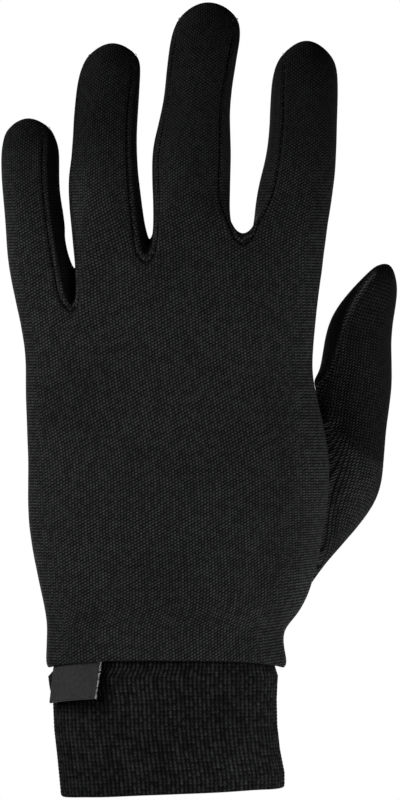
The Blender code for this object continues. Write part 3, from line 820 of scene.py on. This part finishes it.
def with_hem(surface, used, points, faces, uv, seam):
    """Adds the rings that turn the hem's cloth under and back up inside it."""
    grid = zone_grid(surface, HAND_ZONE, 0, HAND_COLUMNS, HAND_ROWS)
    numbers = grid[HEM_START, :-1]
    edge = surface.points[numbers]
    bottom = surface.points[grid[0, :-1]][:, 2]
    out = unit(surface.normals[numbers] * (1, 1, 0))
    rings = []
    for angle in np.linspace(0, math.pi, HEM_STEPS + 1)[1:]:
        ring = edge - out * (HEM_THICK / 2 * (1 - math.cos(angle)))
        ring[:, 2] = edge[:, 2] - (edge[:, 2] - bottom) * math.sin(angle)
        rings.append(ring)
    rings += [rings[-1] + (0, 0, share * HEM_TURN) for share in HEM_TURN_SHARES]
    across = lengths_along(surface.points[grid[HEM_START]]) / MM
    across -= across[int(HAND_MIDDLE * STEPS)]
    above = np.searchsorted(used, numbers)
    for k, ring in enumerate(rings):
        below = len(points) + np.arange(len(ring))
        points = np.concatenate([points, ring])
        # The rings turned under the hem's edge get painted shade
        seam = np.concatenate([seam, np.full(len(ring), HEM_SHADE if k > 1 else 0.0)])
        quads = np.stack([below, np.roll(below, -1), np.roll(above, -1), above], axis=1)
        faces = np.concatenate([faces, quads])
        uv = np.concatenate([uv, strip_uv(across[:-1], across[1:], -HEM_RING * (k + 1), -HEM_RING * k)])
        above = below
    return points, faces, uv, seam


def strip_uv(left, right, bottom, top):
    """The corners' coordinates of a row of quads, from where their sides are."""
    sides = ((left, bottom), (right, bottom), (right, top), (left, top))
    corners = [np.stack([side, np.full(len(side), height)], axis=1) for side, height in sides]
    return np.stack(corners, axis=1)


def sheet_faces(rows, count, closed):
    """The quads between rows of points, from the first row on."""
    first = np.arange(count if closed else count - 1)
    after = (first + 1) % count
    quad = np.stack([first + count, after + count, after, first], axis=1)
    return np.concatenate([quad + i * count for i in range(rows - 1)])


# Painted light and shade: how much darker the cloth is made towards the fingertips, and how much
# lighter along the hand's thumb side up to the fingers; heights and places in metres
TIP_PAINTED_SHADE, TIP_RANGE = 0.38, (0.185, 0.228)
EDGE_PAINTED_LIGHT, EDGE_RANGE, EDGE_HEIGHTS = 1.22, (0.034, 0.046), (0.15, 0.19)
# On the thumb a crease falls from a place at a slope; painted light lightens the cloth below it and
# painted shade darkens it above
THUMB_PAINTED_SHADE, BASE_PAINTED_LIGHT = 0.72, 1.50
CREASE_PLACE, CREASE_SLOPE, CREASE_RANGE = (0.0537, 0.120), 0.71, (-0.0005, 0.0020)
# Painted light on the thumb's side that faces the hand, on the back of the hand
FACING_PAINTED_LIGHT, FACING_RANGE, FACING_BACK = 1.3, (0.15, 0.60), (-0.25, 0.05)
# Painted highlights: lighter bands beside the seams of the fourchettes and of the upper thumb, in
# millimetres off the seam, and the heights over which the thumb's begins
BAND_PAINTED_LIGHT, RIDGE_PAINTED_LIGHT, BAND_PLACE = 0.12, 2.6, 0.8
BAND_WIDTH, RIDGE_WIDTH, RIDGE_HEIGHTS = 0.45, 0.40, (0.118, 0.135)


def painted_light_and_shade(points, on_thumb):
    """How light the cloth is painted at each point, about 1: painted shade towards the fingertips and
    above the thumb's crease, painted light low on the hand's thumb side and below the crease.
    """
    tone = 1 - TIP_PAINTED_SHADE * smooth_step(points[:, 2], *TIP_RANGE)
    if on_thumb:
        rise = points[:, 2] - CREASE_PLACE[1] + CREASE_SLOPE * (points[:, 0] - CREASE_PLACE[0])
        return tone * (BASE_PAINTED_LIGHT + (THUMB_PAINTED_SHADE - BASE_PAINTED_LIGHT) * smooth_step(rise, *CREASE_RANGE))
    low = 1 - smooth_step(points[:, 2], *EDGE_HEIGHTS)
    return tone * (1 + (EDGE_PAINTED_LIGHT - 1) * smooth_step(points[:, 0], *EDGE_RANGE) * low)


def seam_painted_light(surface, used, distance, tag):
    """Painted light: how much lighter the outer cloth is beside a seam and on the thumb's side by the
    hand.
    """
    if tag == PANEL:
        return 1.0
    off_band = distance - BAND_PLACE
    if tag != THUMB_TAG:
        return 1 + BAND_PAINTED_LIGHT * bell(off_band, BAND_WIDTH)
    normals, height = surface.normals[used], surface.points[used][:, 2]
    facing = smooth_step(-normals[:, 0], *FACING_RANGE) * smooth_step(-normals[:, 1], *FACING_BACK)
    ridge = bell(off_band, RIDGE_WIDTH) * smooth_step(height, *RIDGE_HEIGHTS)
    return (1 + FACING_PAINTED_LIGHT * facing) * (1 + RIDGE_PAINTED_LIGHT * ridge)


def renumbered(quads):
    """The vertex numbers that some quads use, and the quads by their places among these."""
    used, new = np.unique(quads, return_inverse=True)
    return used, new.reshape(-1, 4)


def build_hand(knit, thumb_knit):
    """The hand's five pieces of cloth with their lining; returns the outer surface and seams."""
    fine, lining = hand_surfaces()
    place = cloth_coordinates(fine)
    lines = seam_lines(fine)
    groove, from_seam = dress(fine, lines)
    low = (fine.places[..., 0].max(axis=1) < HAND_COLUMNS + 0.5) \
        & (fine.places[..., 1].max(axis=1) < HEM_START / STEPS + PLACE_SLACK)
    inner = lining.points - lining.normals * CLOTH
    for tag, name in enumerate(HAND_NAMES):
        chosen = (fine.tags == tag) & ~low
        used, faces = renumbered(fine.quads[chosen])
        points, seam, uv = fine.points[used], groove[used], place[chosen]
        # Painted shade between the fingers, carried with the seams' darkness
        if name in INNER_SHADE:
            seam = np.maximum(seam, INNER_SHADE[name] * smooth_step(from_seam[used], *INNER_RANGE))
        if tag == PANEL:
            points, faces, uv, seam = with_hem(fine, used, points, faces, uv, seam)
        kept, back = renumbered(lining.quads[lining.tags == tag][:, ::-1])
        faces = np.concatenate([faces, back + len(points)])
        points = np.concatenate([points, inner[kept]])
        seam = np.concatenate([seam, np.zeros(len(kept))])
        uv = np.concatenate([uv, inner[kept][back][..., [0, 2]] / MM])
        # Painted light and shade, handed to the material as the tone values
        tone = painted_light_and_shade(points, tag == THUMB_TAG)
        tone[:len(used)] *= seam_painted_light(fine, used, from_seam[used], tag)
        material = thumb_knit if tag == THUMB_TAG else knit
        piece = new_piece(name + "_cloth", points, faces, uv, material)
        set_values(piece, "seam", seam)
        set_values(piece, "tone", tone)
        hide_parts(name)
    return fine, lines


TUBE_SIDES = 6
TUBE_SLANT = (0.31, 0.24, 0.92)     # a direction that no thread runs along
THREAD_END = 0.35


def tube(line, radius):
    """Points and quads of a thin thread along a line."""
    line = np.asarray(line)
    ahead = unit(np.gradient(line, axis=0))
    side = unit(np.cross(ahead, TUBE_SLANT))
    up = np.cross(ahead, side)
    angles = 2 * math.pi * np.arange(TUBE_SIDES)[:, None] / TUBE_SIDES
    reach = np.full((len(line), 1, 1), radius)
    reach[[0, -1]] *= THREAD_END
    points = line[:, None] + reach * (np.cos(angles) * side[:, None] + np.sin(angles) * up[:, None])
    ring = np.arange(TUBE_SIDES)
    after = np.roll(ring, -1)
    quad = np.stack([ring, after, after + TUBE_SIDES, ring + TUBE_SIDES], axis=1)
    quads = quad + TUBE_SIDES * np.arange(len(line) - 1)[:, None, None]
    return points.reshape(-1, 3), quads.reshape(-1, 4)


def thread_piece(name, threads, radius, material):
    """Many thin threads as one piece."""
    points, quads = [], []
    total = 0
    for line in threads:
        more, faces = tube(line, radius)
        points.append(more)
        quads.append(faces + total)
        total += len(more)
    quads = np.concatenate(quads)
    return new_piece(name, np.concatenate(points), quads, np.zeros((len(quads) * 4, 2)), material)


# Stitches: how far apart, how long, how high over the cloth, how far slanted and how thick, in
# millimetres apart from the slant
Stitching = namedtuple("Stitching", "pitch length lift slant radius")
THUMB_STITCHING = Stitching(1.25, 1.9, 0.27, 0.9, 0.18)
PANEL_STITCHING = Stitching(2.6, 0.9, 0.15, 0.3, 0.10)
STITCH_ARCH = 0.22
STITCH_SHARES = (-1.0, -0.6, 0.0, 0.6, 1.0)


def seam_stitches(surface, numbers, kind):
    """Short threads laid across a seam."""
    line, out = surface.points[numbers], surface.normals[numbers]
    places, along = resampled(line, kind.pitch * MM)
    normal = unit(between(along, lengths_along(line), out))
    ahead = unit(np.gradient(places, axis=0))
    reach = unit(np.cross(ahead, normal) + kind.slant * ahead)
    half = kind.length / 2 * MM
    return [[place + way * share * half + up * (kind.lift + STITCH_ARCH * (1 - share * share)) * MM
             for share in STITCH_SHARES] for place, way, up in zip(places, reach, normal)]


# The cuff: ribs and courses of the knit, in metres
RIB_PITCH = 0.00142
RIB_DEPTH = 0.00042
RIB_POINTS = 6
COURSE_PITCH = 0.00125
CUFF_ROWS = 84
MOUTH_STEPS = 8
INNER_ROWS = 12
RIB_ROUNDNESS = 0.8
COURSE_DEPTH = 0.00006
NECK_START = 1.06 * CUFF_HEIGHT
NECK_OUTSET = 0.8 * HEM_ROOM
# The cuff's mouth is a little uneven: the wave's size and seed, its height and where it starts
MOUTH_WAVE = (0.55, 4)
MOUTH_SAG = 0.00025
SAG_START = 0.6
SECTION_SAMPLES = 7201


def cuff_ring_at(height):
    """The cuff's section at a height between its rings, or its neck above them."""
    share = height / CUFF_HEIGHT
    for low, high in zip(CUFF_RINGS, CUFF_RINGS[1:]):
        if share <= high.height:
            mix = (share - low.height) / (high.height - low.height)
            return CuffRing(*(a + (b - a) * mix for a, b in zip(low, high)))
    return NECK._replace(height=share)


def cuff_points(ring, angles, outset):
    """Points of the cuff's outer face, or outset from it, at several angles."""
    left, right = ring.left * PALM_WIDTH, ring.right * PALM_WIDTH
    across, front = rounded(angles, CUFF_SQUARENESS)
    height = ring.height * CUFF_HEIGHT + CUFF_SLANT * across * max(0.0, 1 - ring.height)
    return np.stack([(left + right) / 2 + across * ((right - left) / 2 + outset),
                     front * (ring.depth * CUFF_DEPTH + outset), height], axis=1), front


def even_angles(ring, count):
    """Angles at even distances round a section, and its length round."""
    angles = np.linspace(-math.pi, math.pi, SECTION_SAMPLES)
    points, _ = cuff_points(ring, angles, 0.0)
    along = lengths_along(points)
    return np.interp(np.arange(count) / count * along[-1], along, angles), along[-1]


# Painted shadow round the label, below and to the right of it: how dark, how wide and how far off
LABEL_SHADOW_DROP = 0.65
LABEL_SHADOW_WIDTH = 0.0017
LABEL_SHADOW_OFFSET = 0.0009
# Painted shadow: the dark line on the cuff just below the hem's edge
HEM_SHADOW_DROP = 0.75
HEM_SHADOW_WIDTH = 0.0009


def cuff_painted_shadow(points):
    """How light the cuff is painted at each point: painted shadow next to the label and just below the
    hem.
    """
    left, top = LABEL_PLACE * PALM_WIDTH + LABEL_SHADOW_OFFSET, CUFF_HEIGHT
    beside = points[:, 0] - np.clip(points[:, 0], left, left + LABEL_WIDTH)
    below = points[:, 2] - np.clip(points[:, 2], top - LABEL_DROP - LABEL_SHADOW_OFFSET, top + LABEL_TUCK)
    near = bell(np.hypot(beside, below), LABEL_SHADOW_WIDTH)
    front = np.clip(points[:, 1] / (NECK.depth * CUFF_DEPTH), -1, 1)
    under = np.clip(CUFF_HEIGHT + HEM_RISE * front ** 2 - points[:, 2], 0, None)
    return (1 - LABEL_SHADOW_DROP * near * (points[:, 1] < 0)) * (1 - HEM_SHADOW_DROP * bell(under, HEM_SHADOW_WIDTH))


def cuff_rows():
    """Each row's height, outset and ribbing, down from the seam inside the hem and back up inside."""
    seam = CUFF_HEIGHT + CUFF_SEAM * HEM_HEIGHT
    turn = CUFF_CLOTH / 2
    rows = []
    for height in np.linspace(seam, turn, CUFF_ROWS + 1):
        hidden = min(1.0, max(0.0, (height - NECK_START) / (seam - NECK_START)))
        rows.append((height, NECK_OUTSET * hidden, 1.0 - hidden))
    for bend in np.linspace(0, math.pi, MOUTH_STEPS + 1)[1:]:
        rows.append((turn * (1 - math.sin(bend)), -turn * (1 - math.cos(bend)), math.cos(bend)))
    rows += [(height, -CUFF_CLOTH, -1.0) for height in np.linspace(turn, seam, INNER_ROWS + 1)[1:]]
    return rows


def build_cuff(ribbed_knit):
    """A doubled tube of rib knit, folded at its mouth, its neck up inside the hem."""
    middle = cuff_ring_at(CUFF_HEIGHT / 2)
    count = round(even_angles(middle, 1)[1] / RIB_PITCH) * RIB_POINTS
    angles, _ = even_angles(middle, count)
    phase = np.arange(count) / RIB_POINTS
    rib = (np.abs(np.cos(np.pi * phase)) ** RIB_ROUNDNESS - 1.0) * RIB_DEPTH
    around = np.stack([np.cos(angles), np.sin(angles), 0 * angles], axis=1)
    sag = soft_noise(around, *MOUTH_WAVE) * MOUTH_SAG
    rows, along = [], []
    travelled = 0.0
    for height, outset, ribbing in cuff_rows():
        ring = cuff_ring_at(max(0.0, height))._replace(height=height / CUFF_HEIGHT)
        course = COURSE_DEPTH * math.cos(2 * math.pi * travelled / COURSE_PITCH)
        low = smooth_step(height, SAG_START * CUFF_HEIGHT, 0.0)
        row, _ = cuff_points(ring, angles, outset + (rib + course) * ribbing)
        row[:, 1] += sag * low * 2
        row[:, 2] += sag * low
        if rows:
            travelled += float(np.median(np.linalg.norm(row - rows[-1], axis=1)))
        rows.append(row)
        along.append(travelled / MM)
    uv = [strip_uv(phase, phase + 1 / RIB_POINTS, -low, -high) for high, low in zip(along, along[1:])]
    points, faces = np.concatenate(rows), sheet_faces(len(rows), count, True)
    piece = new_piece("cuff_rib_knit", points, faces, np.concatenate(uv), ribbed_knit)
    # Painted shadow, handed to the material as the tone values
    set_values(piece, "tone", cuff_painted_shadow(points))
    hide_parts("cuff")


LABEL_FINE_COLUMNS, LABEL_FINE_ROWS = 36, 30
FOLD_STEPS = 6
# The threads at its cut edge: how many, from which row on, and their length and thickness
CUT_THREADS = 70
CUT_FIRST_ROW = 4
CUT_REACH = (0.25, 0.75)
CUT_RADIUS = 0.000055
CUT_SHARES = (-0.3, 0.1, 0.45, 0.75, 1.0)


def label_profile():
    """How far off the cuff and above the hem the tape lies, down one ply and up the other."""
    spacing = LABEL_TAPE + LABEL_FOLD
    nearest = LABEL_TAPE / 2 + LABEL_CLEARANCE
    lowest = spacing / 2 - LABEL_DROP
    back = []
    for i in range(LABEL_FINE_ROWS + 1):
        height = LABEL_TUCK + (lowest - LABEL_TUCK) * i / LABEL_FINE_ROWS
        back.append((nearest + LABEL_STAND_OFF * max(0.0, -height / LABEL_DROP), height))
    front = [(outset + spacing, height) for outset, height in back]
    fold = []
    for i in range(1, FOLD_STEPS):
        angle = math.pi * i / FOLD_STEPS
        fold.append((back[-1][0] + spacing / 2 * (1 + math.cos(angle)),
                     lowest - spacing / 2 * math.sin(angle)))
    return front + fold + back[::-1]


def build_label(woven_tape, white_thread):
    """A tape folded in two, its ends up inside the hem, curved with the cuff."""
    rows, uv_at = [], []
    profile = label_profile()
    travelled = 0.0
    share = np.arange(LABEL_FINE_COLUMNS) / (LABEL_FINE_COLUMNS - 1)
    for k, (outset, height) in enumerate(profile):
        if k:
            travelled += math.hypot(outset - profile[k - 1][0], height - profile[k - 1][1]) / MM
        ring = cuff_ring_at(CUFF_HEIGHT + height)
        middle, half = (ring.left + ring.right) / 2, (ring.right - ring.left) / 2
        first, last = (math.pi - math.acos(min(1.0, (middle - end) / half) ** (CUFF_SQUARENESS / 2))
                       for end in (LABEL_PLACE, LABEL_PLACE + LABEL_WIDTH / PALM_WIDTH))
        row, front = cuff_points(ring, first + (last - first) * share, outset)
        row[:, 0] += LABEL_LEAN * min(0.0, height / LABEL_DROP) * share
        row[:, 2] = CUFF_HEIGHT + height + HEM_RISE * front ** 2
        rows.append(row)
        uv_at.append(np.stack([share * LABEL_WIDTH / MM, np.full(len(share), travelled)], axis=1))
    faces = sheet_faces(len(rows), LABEL_FINE_COLUMNS, False)
    uv = np.concatenate(uv_at)[faces]
    piece = new_piece("label_tape", np.concatenate(rows), faces, uv, woven_tape)
    tape = piece.modifiers.new("tape", "SOLIDIFY")
    tape.thickness = LABEL_TAPE
    tape.offset = 0.0
    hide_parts("label")
    edge = np.array([row[-1] for row in rows])
    thread_piece("label_cut_threads", cut_threads(edge), CUT_RADIUS, white_thread)


def cut_threads(edge):
    """Short loose ends of thread along the label's cut edge."""
    chance = np.random.default_rng(7)
    threads = []
    for _ in range(CUT_THREADS):
        row = chance.uniform(CUT_FIRST_ROW, LABEL_FINE_ROWS + 3)
        k = int(row)
        start = edge[k] + (edge[k + 1] - edge[k]) * (row - k)
        way = np.array([0.75 + 0.3 * chance.random(), -0.35 - 0.3 * chance.random(),
                        0.35 * chance.normal()])
        reach = chance.uniform(*CUT_REACH) * MM
        bend = np.array([0, 0, chance.normal() * 0.25])
        threads.append([start + way * reach * s + bend * reach * s * s for s in CUT_SHARES])
    return threads


class Number:
    """A number that shader nodes work out, open to plain arithmetic."""

    def __init__(self, nodes, socket):
        self.nodes = nodes
        self.socket = socket

    def __add__(self, other):
        return self.nodes.math("ADD", self, other)

    def __sub__(self, other):
        return self.nodes.math("SUBTRACT", self, other)

    def __mul__(self, other):
        return self.nodes.math("MULTIPLY", self, other)

    def __truediv__(self, other):
        return self.nodes.math("DIVIDE", self, other)

    def __pow__(self, other):
        return self.nodes.math("POWER", self, other)

    def of(self, operation):
        return self.nodes.math(operation, self)


class Nodes:
    """Short calls that add shader nodes to a tree."""

    def __init__(self, tree):
        self.tree = tree

    def add(self, kind, **settings):
        node = self.tree.nodes.new(kind)
        for name, value in settings.items():
            setattr(node, name, value)
        return node

    def put(self, socket, value):
        if isinstance(value, Number):
            value = value.socket
        if isinstance(value, bpy.types.NodeSocket):
            self.tree.links.new(value, socket)
        else:
            socket.default_value = value

    def number(self, kind, values, output=0, **settings):
        """Adds a node with values on some of its inputs; gives a number it works out."""
        node = self.add(kind, **settings)
        for name, value in values.items():
            self.put(node.inputs[name], value)
        return Number(self, node.outputs[output])

    def math(self, operation, *values):
        return self.number("ShaderNodeMath", dict(enumerate(values)), operation=operation)

    def wave(self, phase):
        """From 0 to 1 and back over each whole number of the phase, 1 at whole numbers."""
        return (phase * (2 * math.pi)).of("COSINE") * 0.5 + 0.5

    def ramp(self, value, low, high, out_low, out_high):
        values = {"Value": value, "From Min": low, "From Max": high,
                  "To Min": out_low, "To Max": out_high}
        return self.number("ShaderNodeMapRange", values, interpolation_type="SMOOTHSTEP")

    def noise(self, scale, detail, where):
        return self.number("ShaderNodeTexNoise", {"Scale": scale, "Detail": detail, "Vector": where})

    def split(self, vector):
        node = self.add("ShaderNodeSeparateXYZ")
        self.put(node.inputs[0], vector)
        return [Number(self, output) for output in node.outputs]

    def where(self):
        """The place on the object, for noise."""
        return self.add("ShaderNodeTexCoord").outputs["Object"]

    def cloth_place(self):
        """Across and up the cloth in millimetres."""
        return self.split(self.add("ShaderNodeUVMap", uv_map="cloth").outputs["UV"])[:2]

    def attribute(self, name):
        return self.number("ShaderNodeAttribute", {}, "Fac", attribute_name=name)

    def per_stitch(self, column, row):
        """A chance number from 0 to 1 for each stitch."""
        place = self.add("ShaderNodeCombineXYZ")
        self.put(place.inputs["X"], column)
        self.put(place.inputs["Y"], row)
        return self.number("ShaderNodeTexWhiteNoise", {"Vector": place.outputs[0]},
                           noise_dimensions="2D")

    def tint(self, value, colour):
        """A colour times a number."""
        node = self.add("ShaderNodeVectorMath", operation="SCALE")
        node.inputs[0].default_value = colour
        self.put(node.inputs["Scale"], value)
        return node.outputs[0]


def fabric(name, roughness, gloss, sheen):
    """A material with a matt fabric shader, and its node calls."""
    material = bpy.data.materials.new(name)
    material.use_nodes = True
    shader = material.node_tree.nodes["Principled BSDF"]
    for socket, value in (("Roughness", roughness), ("Specular IOR Level", gloss),
                          ("Sheen Weight", sheen), ("Sheen Roughness", SHEEN_ROUGHNESS)):
        shader.inputs[socket].default_value = value
    return material, shader, Nodes(material.node_tree)


def colour_cloth(nodes, shader, bright, colour, height, relief):
    """Gives the shader its colour and a bump of so many millimetres."""
    nodes.put(shader.inputs["Base Color"], nodes.tint(bright, colour))
    bump = nodes.add("ShaderNodeBump")
    bump.inputs["Distance"].default_value = relief * MM
    nodes.put(bump.inputs["Height"], height)
    nodes.put(shader.inputs["Normal"], bump.outputs["Normal"])


# Matt cloth: dark cloth loses its knit's contrast under more gloss or sheen than this
SHEEN_ROUGHNESS = 0.45
KNIT_GLOSS, KNIT_SHEEN = 0.05, 0.02
NOISE_RANGE = (0.3, 0.7)        # where most of a noise's values lie
# The interlock knit: its wales and courses, in millimetres
WALE = 1.017
COURSE = 1.067
CHEVRON = 0.30
SKEW = -0.26
LOW_SKEW, LOW_SKEW_ACROSS, LOW_SKEW_UP = -0.20, (0.0, 0.03), (0.075, 0.11)
KNIT_BRIGHT = 0.052
RIB_BRIGHT = 0.0185
KNIT_COLOUR = (0.94, 0.96, 1.00)
# Towards the sides of a finger or of the hand the knit shows as rows, less so at the fingertips
ROWS_RIGHT, ROWS_LEFT = (0.05, 0.55), (-0.80, -0.22)
ROWS_UP, ROWS_TIP = (0.195, 0.22), 0.3
ROW_PITCH = 0.93 * COURSE


def knit_material(name, size, rows_share, sharpness):
    """Fine interlock: columns of V-shaped stitches, each half a stitch off its neighbours."""
    material, shader, nodes = fabric(name, 0.90, KNIT_GLOSS, KNIT_SHEEN)
    across, up = (value / size for value in nodes.cloth_place())
    where = nodes.where()
    x, _, z = nodes.split(where)
    drift = nodes.noise(140.0, 1.0, where) * 0.5 - 0.25
    column = (across + drift) / WALE
    cell = column.of("FLOOR")
    inside = column.of("FRACT") - 0.5
    off_middle = inside.of("ABSOLUTE")
    skew = nodes.ramp(x, *LOW_SKEW_ACROSS, 0.0, LOW_SKEW) * nodes.ramp(z, *LOW_SKEW_UP, 1.0, 0.0) + SKEW
    course = (up + drift) / COURSE + (cell * 0.5).of("FRACT") + inside * skew
    stitch = nodes.wave(course - off_middle * CHEVRON)
    body = (inside * math.pi).of("COSINE") ** 0.8
    lattice = body * nodes.ramp(off_middle, 0.0, 0.13, 0.70, 1.0) * (stitch * 0.88 + 0.12)

    facing = nodes.split(nodes.add("ShaderNodeNewGeometry").outputs["Normal"])[0]
    right = nodes.ramp(facing, *ROWS_RIGHT, 0.0, rows_share)
    left = nodes.ramp(facing, *ROWS_LEFT, rows_share, 0.0)
    sideways = nodes.math("MAXIMUM", right, left) * nodes.ramp(z, *ROWS_UP, 1.0, ROWS_TIP)
    rows = nodes.wave(up / ROW_PITCH) * 0.5 + lattice * 0.4
    height = lattice + (rows - lattice) * sideways

    speckle = nodes.per_stitch(cell, course.of("FLOOR"))
    broad = nodes.noise(38.0, 2.0, where)
    bright = (height ** sharpness * KNIT_BRIGHT + 0.003) * nodes.ramp(speckle, 0.0, 1.0, 0.70, 1.30)
    bright = bright * nodes.ramp(broad, *NOISE_RANGE, 0.88, 1.12)
    # Darker in the seams' grooves; the seam values also carry painted shade between the fingers and
    # under the hem's edge, and the tone values painted light and shade
    bright = bright * nodes.ramp(nodes.attribute("seam"), 0.2, 0.95, 1.0, 0.12) * nodes.attribute("tone")
    colour_cloth(nodes, shader, bright, KNIT_COLOUR, height, 0.22)
    return material


def rib_material():
    """Rib knit: the ribs are modelled, and each carries a column of V-shaped stitches."""
    material, shader, nodes = fabric("rib_knit_cloth", 0.92, KNIT_GLOSS, KNIT_SHEEN)
    rib, up = nodes.cloth_place()
    where = nodes.where()
    drift = nodes.noise(170.0, 1.0, where) * 0.4 - 0.2
    shifted = rib + 0.5
    off_crest = (shifted.of("FRACT") - 0.5).of("ABSOLUTE")
    course = (up + drift) / (COURSE_PITCH / MM)
    stitch = nodes.wave(course - off_crest * 0.7)
    height = (nodes.wave(rib) * 0.75 + 0.25) * (stitch * 0.45 + 0.55)
    speckle = nodes.per_stitch(shifted.of("FLOOR"), course.of("FLOOR"))
    broad, fuzz = nodes.noise(60.0, 2.0, where), nodes.noise(2300.0, 2.0, where)
    bright = (height ** 1.3 * RIB_BRIGHT + 0.002) * nodes.ramp(speckle, 0.0, 1.0, 0.55, 1.45)
    bright = bright * nodes.ramp(broad, *NOISE_RANGE, 0.85, 1.15)
    bright = bright * nodes.ramp(fuzz, 0.32, 0.68, 0.45, 1.55)
    # The tone values are painted shadow beside the label and below the hem
    colour_cloth(nodes, shader, bright * nodes.attribute("tone"), KNIT_COLOUR, height, 0.25)
    return material


def tape_material():
    """Satin-woven tape: fine weft ribs with the warp showing between them."""
    material, shader, nodes = fabric("woven_tape_cloth", 0.62, 0.15, 0.15)
    across, along = nodes.cloth_place()
    weft = nodes.wave(along / 0.36)
    warp = nodes.wave((across + along * 0.6) / 0.48)
    weave = weft * 0.6 + warp * 0.4
    speckle = nodes.noise(1500.0, 3.0, nodes.where())
    bright = (weave * 0.014 + 0.016) * nodes.ramp(speckle, *NOISE_RANGE, 0.7, 1.3)
    colour_cloth(nodes, shader, bright, (1.0, 0.99, 1.0), weave, 0.08)
    return material


def thread_material(name, tone):
    """Spun thread, a little uneven along its length."""
    material, shader, nodes = fabric(name, 0.8, 0.15, 0.2)
    uneven = nodes.noise(2200.0, 2.0, nodes.where())
    bright = nodes.ramp(uneven, *NOISE_RANGE, 0.7 * tone, 1.2 * tone)
    colour_cloth(nodes, shader, bright, (1.0, 1.0, 1.0), uneven, 0.05)
    return material


# The studio: soft square panels, low in front as in the photograph; the camera sees plain white
Panel = namedtuple("Panel", "name place target size power spread")
AIM = (0.0, 0.0, 0.11)
PANELS = (
    Panel("low_front_panel", (0.28, -0.26, -0.13), AIM, 0.25, 0.80, math.pi),
    Panel("near_right_panel", (0.20, -0.20, -0.10), AIM, 0.15, 0.18, math.pi),
    Panel("low_side_panel", (0.30, -0.10, -0.02), AIM, 0.15, 0.33, math.pi),
    Panel("left_panel", (-0.40, -0.25, 0.22), AIM, 0.30, 2.19, math.pi),
    Panel("palm_panel", (-0.25, 0.70, 0.10), AIM, 0.40, 1.2, math.pi),
    Panel("floor_panel", (0.0, 1.60, 1.20), (0.0, 1.60, 0.0), 1.00, 30.0, 1.2),
)
WORLD_LIGHT = 0.07
FLOOR_SIZE, FLOOR_HEIGHT = 3.0, -0.35
WHITE = (1.0, 1.0, 1.0, 1.0)
FLOOR_COLOUR = (0.85, 0.85, 0.85, 1.0)


def add_light(panel):
    """A square panel light that faces its target."""
    light = bpy.data.lights.new(panel.name, "AREA")
    light.shape = "SQUARE"
    light.size = panel.size
    light.energy = panel.power
    light.spread = panel.spread
    lamp = add_object(panel.name, light)
    lamp.location = panel.place
    way = Vector(panel.target) - Vector(panel.place)
    lamp.rotation_euler = way.to_track_quat("-Z", "Y").to_euler()


def add_world():
    """A faint even light, with plain white behind the object where the camera looks."""
    world = bpy.data.worlds.new("studio")
    world.use_nodes = True
    bpy.context.scene.world = world
    nodes = Nodes(world.node_tree)
    around = world.node_tree.nodes["Background"]
    behind = nodes.add("ShaderNodeBackground")
    for background, strength in ((around, WORLD_LIGHT), (behind, 1.0)):
        background.inputs["Color"].default_value = WHITE
        background.inputs["Strength"].default_value = strength
    chosen = nodes.add("ShaderNodeMixShader")
    seen = nodes.add("ShaderNodeLightPath").outputs["Is Camera Ray"]
    for socket, value in zip(chosen.inputs, (seen, around.outputs[0], behind.outputs[0])):
        nodes.put(socket, value)
    nodes.put(world.node_tree.nodes["World Output"].inputs["Surface"], chosen.outputs[0])


def add_studio():
    """The world, the panels and a pale floor."""
    bpy.context.scene.view_settings.view_transform = "Standard"
    add_world()
    for panel in PANELS:
        add_light(panel)
    mesh = bpy.data.meshes.new("floor")
    corners = [(x * FLOOR_SIZE, y * FLOOR_SIZE, FLOOR_HEIGHT)
               for x, y in ((-1, -1), (1, -1), (1, 1), (-1, 1))]
    mesh.from_pydata(corners, [], [(0, 1, 2, 3)])
    floor = add_object("floor", mesh)
    pale = bpy.data.materials.new("pale_floor")
    pale.use_nodes = True
    shader = pale.node_tree.nodes["Principled BSDF"]
    shader.inputs["Base Color"].default_value = FLOOR_COLOUR
    shader.inputs["Roughness"].default_value = 0.9
    mesh.materials.append(pale)


def add_camera():
    """The photograph's view, square on from the back of the hand."""
    data = bpy.data.cameras.new("photo_view")
    data.lens = LENS
    data.sensor_width = SENSOR
    camera = add_object("photo_view", data)
    distance = VIEW_HEIGHT * LENS / SENSOR
    camera.location = (VIEW_MIDDLE[0], -distance, VIEW_MIDDLE[1])
    camera.rotation_euler = (math.pi / 2, 0, 0)
    bpy.context.scene.camera = camera


def main():
    """Makes every piece, and the studio round them."""
    add_camera()
    fine, lines = build_hand(knit_material("knit_cloth", 1.0, 1.0, 1.5),
                             knit_material("thumb_knit_cloth", 0.92, 0.2, 2.4))
    ladder = seam_stitches(fine, lines.pop("thumb_length"), THUMB_STITCHING)
    light_thread = thread_material("light_thread", 0.15)
    thread_piece("thumb_seam_stitches", ladder, THUMB_STITCHING.radius * MM, light_thread)
    small = []
    for numbers in lines.values():
        small += seam_stitches(fine, numbers, PANEL_STITCHING)
    seam_thread = thread_material("seam_thread", 0.012)
    thread_piece("panel_seam_stitches", small, PANEL_STITCHING.radius * MM, seam_thread)
    build_cuff(rib_material())
    build_label(tape_material(), thread_material("white_thread", 0.55))
    add_studio()


main()
